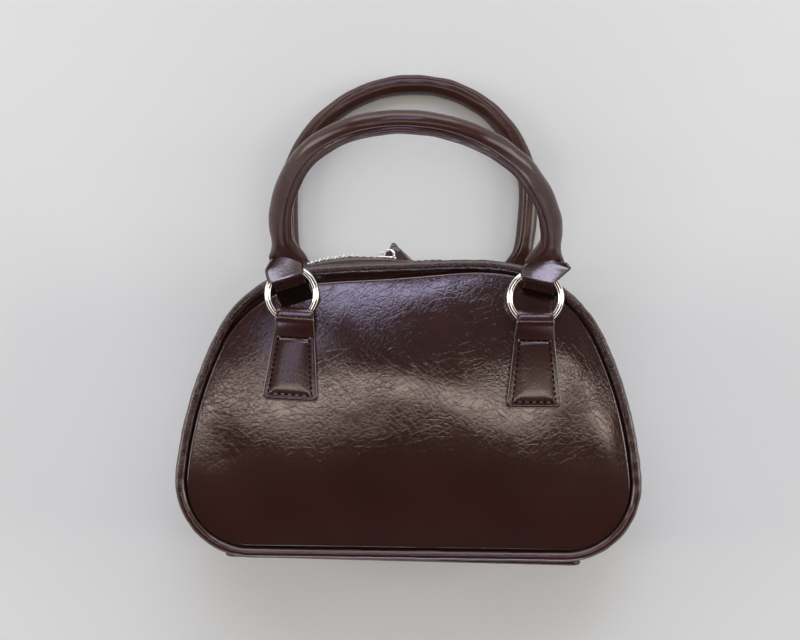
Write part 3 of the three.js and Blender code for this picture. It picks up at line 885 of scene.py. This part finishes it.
def creases(tree, place, turn, cell, stretch, width):
    """1 on flat leather and 0 in the middle of a crease, for creases that run mostly one way."""
    turned = node(tree, "ShaderNodeMapping", {
        "Vector": place,
        "Rotation": (*CREASE_LEAN, math.radians(turn)),
        "Scale": (cell, cell * stretch, cell * stretch),
    }, vector_type="TEXTURE")
    edges = node(tree, "ShaderNodeTexVoronoi", {"Vector": turned, "Scale": 1.0}, feature="DISTANCE_TO_EDGE")
    return spread(tree, edges, 0, width, 0, 1)


def waves(tree, place, form):
    inputs = {"Vector": place, "Scale": form.scale, "Distortion": form.warp}
    return node(tree, "ShaderNodeTexWave", inputs)


def paint(tree, shader, share, looks, share_range=(0, 1)):
    """Colour between two tones and roughness between two values, by a share."""
    tree.links.new(mixed(tree, share, *looks.tones), shader.inputs["Base Color"])
    tree.links.new(spread(tree, share, *share_range, *looks.roughness), shader.inputs["Roughness"])


def relief(tree, shader, height, depth, *sockets):
    """Bumps of a height in millimetres times a depth."""
    bump = node(tree, "ShaderNodeBump", {"Height": height, "Strength": 1.0, "Distance": depth * MM})
    for socket in sockets:
        tree.links.new(bump, shader.inputs[socket])


def leather(name, crease_rows, depths, tones, roughness, gloss, coat):
    """Glossy coated leather with bundles of fine creases, as pulled and folded coated leather shows.

    depths are those of the grain and of the soft unevenness, in millimetres; gloss is the coat's roughness
    and coat its weight.
    """
    material, tree, shader = start_material(
        name,
        Coat_Weight=coat,
        Coat_Roughness=gloss,
        Coat_IOR=COAT_IOR,
        Specular_IOR_Level=UNDER_COAT_SPECULAR,
    )
    sizes = LEATHER_SIZES
    place = place_in_mm(tree)
    bent = warped(tree, place, sizes.warp, CREASE_WARP)
    height = math_of(tree, "MULTIPLY", noise(tree, place, sizes.grain, 2), depths[0])
    height = math_of(tree, "MULTIPLY_ADD", noise(tree, place, sizes.uneven), depths[1], height)
    up = node(tree, "ShaderNodeSeparateXYZ", {0: place}, "Y")
    smooth_below = spread(tree, up, *CREASES_SET_IN, CREASES_LEAST, 1)
    marks = None
    for number, (turn, cell, stretch, width, depth, size, low, high) in enumerate(crease_rows):
        flat = creases(tree, bent, turn, cell, stretch, width)
        patches = noise(tree, vector_of(tree, "ADD", place, 3 * (PATCH_SHIFT * number,)), size)
        here = spread(tree, patches, low, high, 0, 1)
        here = math_of(tree, "MULTIPLY", here, smooth_below)
        sunk = math_of(tree, "MULTIPLY", math_of(tree, "SUBTRACT", 1.0, flat), here)
        height = math_of(tree, "MULTIPLY_ADD", sunk, -depth, height)
        marks = sunk if marks is None else math_of(tree, "MAXIMUM", marks, sunk)
    relief(tree, shader, height, 1, "Normal", "Coat Normal")
    clouds = spread(tree, noise(tree, place, sizes.clouds, 4), *NOISE_RANGE, 0, 1)
    colour = mixed(tree, clouds, tones[0], tones[1])
    # The creases are darkened towards the third tone: painted shade in the creases
    painted_crease_shade = math_of(tree, "MULTIPLY", marks, CREASE_SHADE_SHARE)
    tree.links.new(mixed(tree, painted_crease_shade, colour, tones[2]), shader.inputs["Base Color"])
    dull = spread(tree, noise(tree, place, sizes.dull, 4), *NOISE_RANGE, *roughness)
    tree.links.new(dull, shader.inputs["Roughness"])
    return material


def metal(name):
    material, tree, shader = start_material(name, Metallic=1.0)
    smears = noise(tree, place_in_mm(tree), METAL.smears, 4)
    paint(tree, shader, smears, METAL, NOISE_RANGE)
    return material


def woven(name):
    material, tree, shader = start_material(name, **CLOTH_SHEEN)
    place = place_in_mm(tree)
    ribs = []
    for turn in CLOTH_RIBS.turns:
        rotation = (*CLOTH_RIBS.lean, math.radians(turn))
        turned = node(tree, "ShaderNodeMapping", {"Vector": place, "Rotation": rotation})
        ribs.append(waves(tree, turned, CLOTH_RIBS))
    weave = math_of(tree, "MULTIPLY", *ribs)
    paint(tree, shader, weave, CLOTH)
    relief(tree, shader, weave, CLOTH_RIBS.relief, "Normal")
    return material


def thread(name):
    material, tree, shader = start_material(name, Specular_IOR_Level=DULL_SPECULAR)
    plies = waves(tree, place_in_mm(tree), YARN_PLIES)
    paint(tree, shader, plies, YARN)
    relief(tree, shader, plies, YARN_PLIES.relief, "Normal")
    return material


PANEL_LEATHER = leather("panel_leather", PANEL_CREASES, FINE_GRAIN, BROWN, (0.4, 0.52), 0.13, 1.0)
PIPING_LEATHER = leather("piping_leather", PIPING_CREASES, PIPING_GRAIN, BROWN, (0.38, 0.5), 0.2, 0.75)
GUSSET_LEATHER = leather("gusset_leather", PANEL_CREASES, FINE_GRAIN, BROWN, (0.4, 0.52), 0.24, 0.4)
STRAP_LEATHER = leather("strap_leather", SMALL_CREASES, FINE_GRAIN, BROWN, (0.36, 0.48), 0.16, 0.8)
# The handles take the lighter brown tones, which paint light onto them
HANDLE_LEATHER = leather("handle_leather", SMALL_CREASES, FINE_GRAIN, BROWN_WITH_PAINTED_LIGHT, (0.36, 0.48), 0.22, 0.5)
CHROME = metal("chrome")
TAPE_CLOTH = woven("zip_tape_cloth")
# Near-black thread, darkened as painted shade in the stitch holes; it also makes the dark sheet of painted
# shade inside the rings
THREAD_AND_PAINTED_SHADE = thread("thread")


# Body of the bag

def panel(face):
    along = outline_ring(PANEL_STEPS)
    groove = TOP_GROOVE
    edge_x, edge_y = outline_at(along)
    wider = groove.widen * ramp(edge_x, *groove.x) * ramp(edge_y, *groove.y)

    def row(inset, share, dip):
        x, y = outline_at(along, -inset - wider * ramp(inset, *groove.insets))
        x = x * share
        y = PANEL_CENTRE_Y + (y - PANEL_CENTRE_Y) * share
        z = panel_z(face, x, y)
        return stack(x, lifted(x, y, z), z - face * dip)

    outer_inset, outer_dip = PANEL_EDGE[0]
    rim_inset = PANEL_EDGE[-1][0]
    inner_shares = np.linspace(PANEL_PINHOLE, 1, PANEL_INNER_SHARES)
    outer_shares = np.linspace(1, PANEL_PINHOLE, PANEL_SHARES)[1:]
    rows = [row(rim_inset, share, PANEL_WALL) for share in inner_shares]
    rows.append(row(outer_inset, 1, PANEL_WALL + outer_dip))
    rows.extend(row(inset, 1, dip) for inset, dip in PANEL_EDGE)
    rows.extend(row(rim_inset, share, 0) for share in outer_shares)
    name = f"{NAMES[face]}_panel"
    piece(f"{name}_leather", loft(rows), PANEL_LEATHER, "brown_leather", name)


def piping(face):
    along = outline_ring(PIPING_STEPS)[:, None]
    turn = full_turn(PIPING_SIDES)[None, :]
    x, y = outline_at(along, -PIPING_RADIUS)
    lumps = ripple(stack(x, y, 0 * x), **PIPING_RIPPLE, seed=PIPING_SEED + face)
    joint = PIPING_JOINT
    starts = np.clip((x - joint.start) / joint.step, 0, 1)
    ends = ramp(x, joint.end - joint.fade, joint.end)
    lapped = starts * (1 - ends) * (y < PANEL_CENTRE_Y)
    radius = PIPING_RADIUS + lumps + joint.swell * lapped
    x, y = outline_at(along + 0 * turn, -PIPING_RADIUS + radius * np.cos(turn))
    z = seam_z(face, y)
    rows = stack(x, lifted(x, y, z), z + radius * np.sin(turn))
    name = f"{NAMES[face]}_piping"
    piece(f"{name}_cord", loft(rows, looped=True), PIPING_LEATHER, "brown_leather", name)


def gusset_wall(along, across_at, outer, inner, lift=None):
    """A wall that follows the gusset between places across it; lift raises its outer face."""
    rows = []
    for place in along:
        across = across_at(place)
        rise = 0 if lift is None else lift(place, across)
        rows.append(np.vstack([
            gusset_point(place, across, outer + rise),
            gusset_point(place, across[::-1], inner),
        ]))
    return loft(rows)


def side_gusset(side, name):
    along = side * np.linspace(ZIP_END + GAP, HALF_OUTLINE - GAP / 2, GUSSET_STEPS)
    across = spaced(GUSSET_COLUMNS)
    shape = gusset_wall(along, lambda place: across, 0, -PANEL_WALL)
    piece(f"{name}_leather", shape, GUSSET_LEATHER, "brown_leather", name)


def base_ring(inset):
    """x and z of a rounded rectangle inside the base patch's edge."""
    low = seam_z(BACK, 0) + BASE.margin + inset
    high = FRONT_SEAM_Z - BASE.margin - inset
    half = BASE.half - inset
    corner = max(BASE.corner - inset, BASE_CORNER_LEAST)
    points = []
    for quarter, (sx, at) in enumerate(((1, high), (-1, high), (-1, low), (1, low))):
        turn = np.linspace(0, math.pi / 2, BASE_CORNER_STEPS) + quarter * math.pi / 2
        middle_z = at - corner if at == high else at + corner
        x = BASE.middle + sx * (half - corner) + corner * np.cos(turn)
        points.append(np.stack([x, middle_z + corner * np.sin(turn)], axis=1))
    corners = np.vstack(points)
    ring = []
    for a, b in zip(corners, np.roll(corners, -1, axis=0)):
        steps = BASE_SIDE_STEPS if np.linalg.norm(b - a) > BASE.corner * 2 else 1
        ring.append(a + (b - a) * np.linspace(0, 1, steps, endpoint=False)[:, None])
    return np.vstack(ring)


def base_patch():
    def below(flat, drop):
        return stack(flat[:, 0], -drop - BASE.skew * flat[:, 0], flat[:, 1])

    last_inset = BASE_EDGE[-1][0]
    edge = ((last_inset, BASE_EDGE[0][1]), *BASE_EDGE)
    face = ((last_inset + more, BASE.drop) for more in BASE_FACE_INSETS)
    rows = [below(base_ring(inset), drop) for inset, drop in (*edge, *face)]
    piece("base_panel_leather", loft(rows), GUSSET_LEATHER, "brown_leather", "base_panel")
    path = base_ring(BASE_STITCH.inset)
    path = np.vstack([path, path[:1]])
    along = lengths_along(path)
    at = np.arange(0, along[-1] - WIDE_STITCH_PITCH / 2, WIDE_STITCH_PITCH)
    flat = read_path(path, along, at)
    ahead = read_path(path, along, at + LOOK_AHEAD / 2) - flat
    towards = stack(ahead[:, 0], 0 * at, ahead[:, 1])
    sewn = stitch_run(below(flat, BASE_STITCH.drop), towards, (0, -1, 0), LONG_STITCH)
    piece("base_panel_stitches", sewn, THREAD_AND_PAINTED_SHADE, "zip_tape")


# Zip

def zip_strip(face):
    name = f"{NAMES[face]}_zip_strip"
    shares = np.linspace(0, 1, ZIP_COLUMNS)

    def across_at(along):
        edge = across_of(face, along, ZIP_STRIP_EDGE + mouth_at(along))
        return edge + (face - edge) * shares

    def folds(along, across):
        away = np.abs(across - across[0]) * gusset_span(along)[1]
        return sum(high * bell(away - at, width) for at, high, width in STRIP_FOLDS)

    along = np.linspace(-ZIP_END, ZIP_END, ZIP_STEPS)
    shape = gusset_wall(along, across_at, 0, -PANEL_WALL, folds)
    piece(f"{name}_leather", shape, GUSSET_LEATHER, "brown_leather", name)
    sewn_to = ZIP_END - STRIP_STITCH.from_end
    at = np.arange(-sewn_to, sewn_to, WIDE_STITCH_PITCH)

    def line(places):
        away = ZIP_STRIP_EDGE + mouth_at(places) + STRIP_STITCH.away
        return gusset_point(places, across_of(face, places, away), -STRIP_STITCH.sunk)

    sewn = stitch_run(line(at), line(at + LOOK_AHEAD) - line(at), gusset_out(at), LONG_STITCH)
    piece(f"{name}_stitches", sewn, THREAD_AND_PAINTED_SHADE, "zip_tape")


def zip_tape(face):
    name = f"{NAMES[face]}_zip_tape"

    def across_at(along):
        toothed = ZIP_TEETH.start <= along <= ZIP_TEETH.end
        inner = ZIP_TAPE.inner + mouth_at(along) if toothed else GAP / 2
        outer = ZIP_STRIP_EDGE + ZIP_TAPE.lap + mouth_at(along)
        return across_of(face, along, np.linspace(inner, outer, ZIP_TAPE.columns))

    along = np.linspace(-ZIP_END, ZIP_END, ZIP_STEPS * 2)
    shape = gusset_wall(along, across_at, -ZIP_TAPE.under, -ZIP_TAPE.under - ZIP_TAPE.wall)
    piece(f"{name}_cloth", shape, TAPE_CLOTH, "zip_tape", name)


def zip_teeth(face):
    """Single teeth clipped to the tape's edge, which mesh with the other row where the zip is closed."""
    name = f"{NAMES[face]}_zip_teeth"
    first = ZIP_TEETH.start + (ZIP_TEETH.pitch / 2 if face == FRONT else 0)
    turn = half_step_turn(TOOTH_SIDES)
    teeth = []
    for place in np.arange(first, ZIP_TEETH.end, ZIP_TEETH.pitch):
        if abs(place - ZIP_SLIDER_AT) < ZIP_TEETH.clear_of_slider:
            continue
        edge = ZIP_TAPE.inner + mouth_at(place)
        level = look_up(TEETH_LEVEL, place)[0]
        rows = []
        for away, wide, high in TOOTH_ROWS:
            along = place + wide * squared(np.cos(turn), TOOTH_SQUARE)
            out = level + high * squared(np.sin(turn), TOOTH_SQUARE)
            rows.append(gusset_point(along, across_of(face, place, edge + away), out))
        teeth.append(loft(rows))
    piece(f"{name}_metal", joined(teeth), CHROME, "silver_metal", name)


def zip_slider(seat):
    turn = half_step_turn(SLIDER_SIDES)
    wide, tall = SLIDER_SQUARE
    rows = []
    for x, half, high in SLIDER_PLATE:
        z = half * squared(np.cos(turn), wide)
        y = high / 2 * (1 + squared(np.sin(turn), tall))
        rows.append(stack(x, y, z) + seat)
    ahead, up, lateral = np.eye(3)
    table = [(*row, -SLIDER_BRIDGE_HALF, SLIDER_BRIDGE_HALF) for row in SLIDER_BRIDGE]
    bridge = strap(table, SLIDER_BRIDGE_STEPS, SLIDER_BRIDGE_WALL, seat, lateral, ahead, up)
    piece("zip_slider_metal", joined([loft(rows), bridge]), CHROME, "silver_metal", "zip_slider")


def zip_pull_ring(seat):
    leans = unit(np.array(PULL_RING_LEANS))
    across = unit(np.cross((0, 1, 0), leans))
    centre = seat + (PULL_RING.x, PULL_RING.y, PULL_RING.z)
    shape = torus(centre, PULL_RING.radius, PULL_RING.wire, across, leans)
    piece("zip_pull_ring_metal", shape, CHROME, "silver_metal", "zip_pull_ring")


def zip_pull_tab(seat):
    spine = smooth_path(PULL_PATH, PULL_STEPS)
    path, half = spine[:, :3], spine[:, 3]
    towards = unit(np.gradient(path, axis=0))
    wide = unit((1, 0, 0) - towards * towards[:, :1])
    thick = np.cross(towards, wide)
    share = spaced(STRAP_COLUMNS)[:, None]
    lift = PULL_WALL / 2 * round_edge(share)
    rows = []
    for p, w, t, h in zip(path, wide, thick, half):
        middle = seat + p + w * share * h
        rows.append(section(middle + t * lift, middle - t * lift))
    piece("zip_pull_tab_leather", loft(rows), STRAP_LEATHER, "brown_leather", "zip_pull_tab")


# Rings, tabs and handles

def ring(face, side, x):
    name = f"{NAMES[face]}_ring_{side}"
    squeeze = RING_SQUEEZE.get((face, side), 1)
    shape = torus(ring_centre(face, x), RING.radius, RING.wire, (squeeze, 0, 0), (0, 1, 0))
    piece(f"{name}_metal", shape, CHROME, "silver_metal", name)


def tab_half(up):
    """Half width of a tab without its round corners."""
    return np.maximum(TAB_HALF_LEAST, TAB_HALF_AT_FOOT - TAB_TAPER * up)


def tab_height(across, up, top):
    """Height of a tab's face above the panel at a distance from its middle and from its foot."""
    side = tab_half(up) - np.abs(across)
    corner = TAB_CORNER - np.hypot(np.maximum(0, TAB_CORNER - side), np.maximum(0, TAB_CORNER - up))
    inside = np.where((side < TAB_CORNER) & (up < TAB_CORNER), corner, np.minimum(side, up))
    high = look_up(TAB_PROFILE, inside)[0]
    near_line = bell(up - top + TAB_SEWN.below, TAB_SEWN.width)
    sunk = TAB_SEWN.depth * near_line * (side > TAB_SEWN.clear)
    return high * (1 + TAB_FOOT_THICKER * (1 - up / top)) - sunk


def tab_loop_path():
    """Inner face of a tab's loop: places ahead of the ring's wire and heights over the wire's middle."""
    clear = RING.wire + TAB_LOOP_CLEAR
    low = TAB_CLIMB.low - RING_STANDS
    climbs = np.linspace(TAB_LOOP_FROM + TAB_CLIMB.after_start, TAB_CLIMB.end, TAB_CLIMB.steps)
    climb = [(a, low + (clear - low) * (1 - a / TAB_LOOP_FROM)) for a in climbs]
    turns = np.linspace(math.pi / 2, -math.pi / 2, TAB_LOOP_WRAP_STEPS)
    wrap = [(TAB_LOOP_REACH * math.cos(t), clear * math.sin(t)) for t in turns]
    return np.array([*climb, *wrap, *((a, -clear) for a in TAB_LOOP_TAIL)])


def tab(face, side, x, shift, turn, foot_y):
    name = f"{NAMES[face]}_tab_{side}"
    centre = ring_centre(face, x)
    wire_y = RING.y - RING.radius
    top = wire_y + TAB_LOOP_FROM - foot_y
    cos, sin = math.cos(math.radians(turn)), -math.sin(math.radians(turn))

    def placed(across, y, rise):
        """A point above the panel; near the ring it is level with the ring."""
        dx, dy = shift + across, y - centre[1]
        flat_x = centre[0] + cos * dx - sin * dy
        flat_y = centre[1] + sin * dx + cos * dy
        level = ramp(y, wire_y + TAB_LOOP_FROM, wire_y)
        z = panel_z(face, flat_x, flat_y) * (1 - level) + (centre[2] - face * RING_STANDS) * level
        return stack(flat_x, flat_y, z + face * rise)

    rows = []
    share = spaced(TAB_COLUMNS)
    corner_rows = TAB_CORNER * (1 - np.cos(np.linspace(0, math.pi / 2, TAB_CORNER_ROWS)))
    for up in [*corner_rows, *np.linspace(TAB_CORNER, top, TAB_ROWS)[1:]]:
        cut = TAB_CORNER - math.sqrt(TAB_CORNER ** 2 - max(0, TAB_CORNER - up) ** 2)
        across = share * (tab_half(up) - cut)
        upper = placed(across, foot_y + up, tab_height(across, up, top))
        rows.append(section(upper, placed(across, foot_y + up, -TAB_SUNK)))
    path = tab_loop_path()
    wall = TAB_LOOP_WALL * (TAB_LOOP_EDGE + (1 - TAB_LOOP_EDGE) * round_edge(share))
    for (ahead, rise), (dy, dz) in zip(path, unit(np.gradient(path, axis=0))):
        across = share * tab_half(wire_y + ahead - foot_y)
        upper = placed(across, wire_y + ahead - dz * wall, RING_STANDS + rise + dy * wall)
        rows.append(section(upper, placed(across, wire_y + ahead, RING_STANDS + rise)))
    piece(f"{name}_leather", loft(rows), STRAP_LEATHER, "brown_leather", name)

    low, high = TAB_FOOT_STITCH_INSET, top - TAB_SEWN.below
    low_half, high_half = (tab_half(up) - TAB_STITCH_INSET for up in (low, high))
    lines = (
        ((-low_half, low), (low_half, low), WIDE_STITCH_PITCH),
        ((-high_half, high), (high_half, high), WIDE_STITCH_PITCH),
        ((-low_half, low), (-high_half, high), STITCH_PITCH),
        ((low_half, low), (high_half, high), STITCH_PITCH),
    )
    spots, towards = [], []
    for start, end, pitch in lines:
        start, end = np.array(start), np.array(end)
        count = round(float(np.linalg.norm(end - start)) / pitch)
        ahead = unit(end - start) * LOOK_AHEAD
        for k in range(count):
            across, up = start + (end - start) * (k + 0.5) / count
            rise = float(tab_height(across, up, top))
            spots.append(placed(across, foot_y + up, rise))
            towards.append(placed(across + ahead[0], foot_y + up + ahead[1], rise) - spots[-1])
    piece(f"{name}_stitches", stitch_run(spots, towards, (0, 0, face)), THREAD_AND_PAINTED_SHADE, "zip_tape")


def handle_path(face):
    """A function for the middle and outward direction at places along a handle.

    Also gives the direction out of its arch's plane and half of its length.
    """
    form = HANDLES[face]
    draw_in = form.arch - form.spread
    leg_turn = 2 * math.atan(draw_in / form.leg)
    leg = form.leg * (leg_turn / math.sin(leg_turn) if leg_turn else 1)
    quarter = math.pi / 2
    height = form.arch + form.leg
    lengths, xs, ys, headings = walk((0, height), [(form.arch * quarter, quarter), (leg, leg_turn)])
    places = [row for row in HARDWARE if row[0] == face]
    foot = sum(ring_centre(face, row[2]) for row in places) / len(places) + (0, RING.radius, 0)
    tilt = math.radians(form.tilt)
    up = np.array([0, math.cos(tilt), math.sin(tilt)])
    out = np.array([0, -math.sin(tilt), math.cos(tilt)]) * face

    def at(along):
        side = np.where(along < 0, -1.0, 1.0)
        far = np.abs(along)
        x, y, heading = (np.interp(far, lengths, values) for values in (xs, ys, headings))
        lean = form.lean * (np.maximum(0, y) / height) ** HANDLE_LEAN_POWER
        middle = foot + up * y[:, None]
        drawn_in = 1 - form.squeeze * ramp(y, *HANDLE_SHOULDERS)
        middle[:, 0] += side * x * drawn_in + form.shift + lean
        wide = up * np.cos(heading)[:, None]
        wide[:, 0] = side * np.sin(heading)
        return middle, wide

    return at, out, lengths[-1]


def seam_turn(face, along, length):
    """Degrees round the handle at which its seam lies at places along it."""
    leg, top = HANDLE_SEAM_TURN[face]
    return top + (leg - top) * ramp(np.abs(along) / length, *HANDLE_TWIST)


def handle(face):
    name = f"{NAMES[face]}_handle"
    at, out, length = handle_path(face)
    ends = HANDLE_ENDS[face]
    marks = [row[0] for row in ends]
    runs = [np.linspace(a, b, HANDLE_END_ROWS, endpoint=False) for a, b in zip(marks, marks[1:])]
    near = length - np.concatenate(runs)
    body_end = length - marks[-1]
    body = np.linspace(-body_end, body_end, int(2 * (length - marks[0]) / HANDLE_STEP))
    along = np.concatenate([-near, body, near[::-1]])
    middle, wide = at(along)
    from_end = length - np.abs(along)
    half, front, back, power, inward = (v[:, None] for v in look_up(ends, from_end))
    turn = full_turn(HANDLE_SIDES)[None, :]
    flat, lift = squared(np.cos(turn), 2 / power), squared(np.sin(turn), 2 / power)
    off = (np.degrees(turn) - seam_turn(face, along, length)[:, None]) * face
    sewn = sum(high * bell(off - middle_off, width) for middle_off, width, high in SEAM_PROFILE[face])
    sewn = sewn * ramp(from_end, *HANDLE_SEAM_STARTS)[:, None]
    rise = np.where(lift > 0, front, back) * lift
    points = (
        middle[:, None, :]
        + wide[:, None, :] * (half * flat - inward + sewn * np.cos(turn))[..., None]
        + out * (rise + sewn * np.sin(turn))[..., None]
    )
    tube = unit(points - middle[:, None, :])
    points = points + tube * ripple(points, **HANDLE_RIPPLE)[..., None]
    piece(f"{name}_leather", loft(points), HANDLE_LEATHER, "brown_leather", name)


def handle_loop(face, side, x):
    name = f"{NAMES[face]}_handle"
    turn, shift = LOOP_PLACES[face, side]
    turn = math.radians(turn)
    outwards = -1 if side == "left" else 1
    origin = ring_centre(face, x) + (outwards * shift, RING.radius, 0)
    lateral = np.array([math.cos(turn), math.sin(turn), 0])
    ahead = np.array([-math.sin(turn), math.cos(turn), 0])
    up = np.array([0, 0, float(face)])
    axes = (origin, lateral, ahead, up)
    band = strap((*LOOP_OVER[face, side], *LOOP_UNDER), LOOP_STEPS, LOOP_WALL, *axes, LOOP_SAG[face])
    piece(f"{name}_loop_{side}", band, STRAP_LEATHER, "brown_leather")
    tongue = strap(LOOP_TONGUE, TONGUE_STEPS, TONGUE_WALL, *axes)
    piece(f"{name}_tongue_{side}", tongue, STRAP_LEATHER, "brown_leather")
    # A near-black sheet inside the ring: painted shade under the loop
    shade_sheet = strap(LOOP_SHADE_SHEET[side], TONGUE_STEPS, TONGUE_WALL, *axes)
    piece(f"{name}_lining_{side}", shade_sheet, THREAD_AND_PAINTED_SHADE, "zip_tape")


# Stage

def floor():
    half = FLOOR_HALF
    mesh = bpy.data.meshes.new("floor")
    corners = [(-half, -half, 0), (half, -half, 0), (half, half, 0), (-half, half, 0)]
    mesh.from_pydata(corners, [], [(0, 1, 2, 3)])
    made = in_scene("floor", mesh)
    sockets = {"Roughness": PAPER.roughness, "Specular_IOR_Level": DULL_SPECULAR}
    material, tree, shader = start_material("floor_paper", **sockets)
    tone = mixed(tree, noise(tree, place_in_mm(tree), PAPER.clouds, 2), *PAPER.tones)
    tree.links.new(tone, shader.inputs["Base Color"])
    mesh.materials.append(material)


def softbox(name, place, aim, width, height, watts, colour, roll):
    light = bpy.data.lights.new(name, "AREA")
    light.shape = "RECTANGLE"
    light.size = width
    light.size_y = height
    light.energy = watts
    light.color = colour
    made = in_scene(name, light)
    place, aim = np.array(place, float), np.array(aim, float)
    back = unit(place - aim)
    side = unit(np.cross((0, 1, 0), back))
    over = np.cross(back, side)
    turn = Matrix(np.stack([side, over, back], axis=1).tolist()).to_4x4()
    made.matrix_world = Matrix.Translation(place) @ turn @ Matrix.Rotation(math.radians(roll), 4, "Z")


def studio_world():
    """A grey room that is darker behind the photographer, who stands at the bag's base."""
    world = bpy.data.worlds.new("studio")
    world.use_nodes = True
    tree = world.node_tree
    towards = node(tree, "ShaderNodeTexCoord", {}, "Generated")
    up, along = (node(tree, "ShaderNodeSeparateXYZ", {0: towards}, axis) for axis in "ZY")
    horizon = spread(tree, up, 0, ROOM_HORIZON.up_to, ROOM_HORIZON.strength, 0)
    ahead = spread(tree, along, *ROOM_AHEAD.turns, *ROOM_AHEAD.strength)
    background = tree.nodes["Background"]
    tree.links.new(math_of(tree, "ADD", horizon, ahead), background.inputs["Strength"])
    background.inputs["Color"].default_value = ROOM_COLOUR
    return world


def camera():
    data = bpy.data.cameras.new("camera")
    data.lens = CAMERA.lens
    data.sensor_width = CAMERA.sensor
    made = in_scene("camera", data)
    made.location = (CAMERA.x * MM, (CAMERA.y + ROW_Y) * MM, CAMERA.z * MM)
    made.rotation_euler = (0, 0, math.radians(CAMERA.turn))
    return made


def stage():
    scene = bpy.context.scene
    scene.view_settings.view_transform = "Standard"
    scene.world = studio_world()
    floor()
    for light in LIGHTS:
        softbox(*light)
    scene.camera = camera()


stage()
for face in (FRONT, BACK):
    panel(face)
    piping(face)
    zip_strip(face)
    zip_tape(face)
    zip_teeth(face)
    handle(face)
side_gusset(-1, "side_gusset_left")
side_gusset(1, "side_gusset_right")
base_patch()
slider_seat = gusset_point(ZIP_SLIDER_AT, 0, SLIDER_SEAT)
zip_slider(slider_seat)
zip_pull_ring(slider_seat)
zip_pull_tab(slider_seat)
for face, side, x, shift, turn, foot_y in HARDWARE:
    ring(face, side, x)
    tab(face, side, x, shift, turn, foot_y)
    handle_loop(face, side, x)
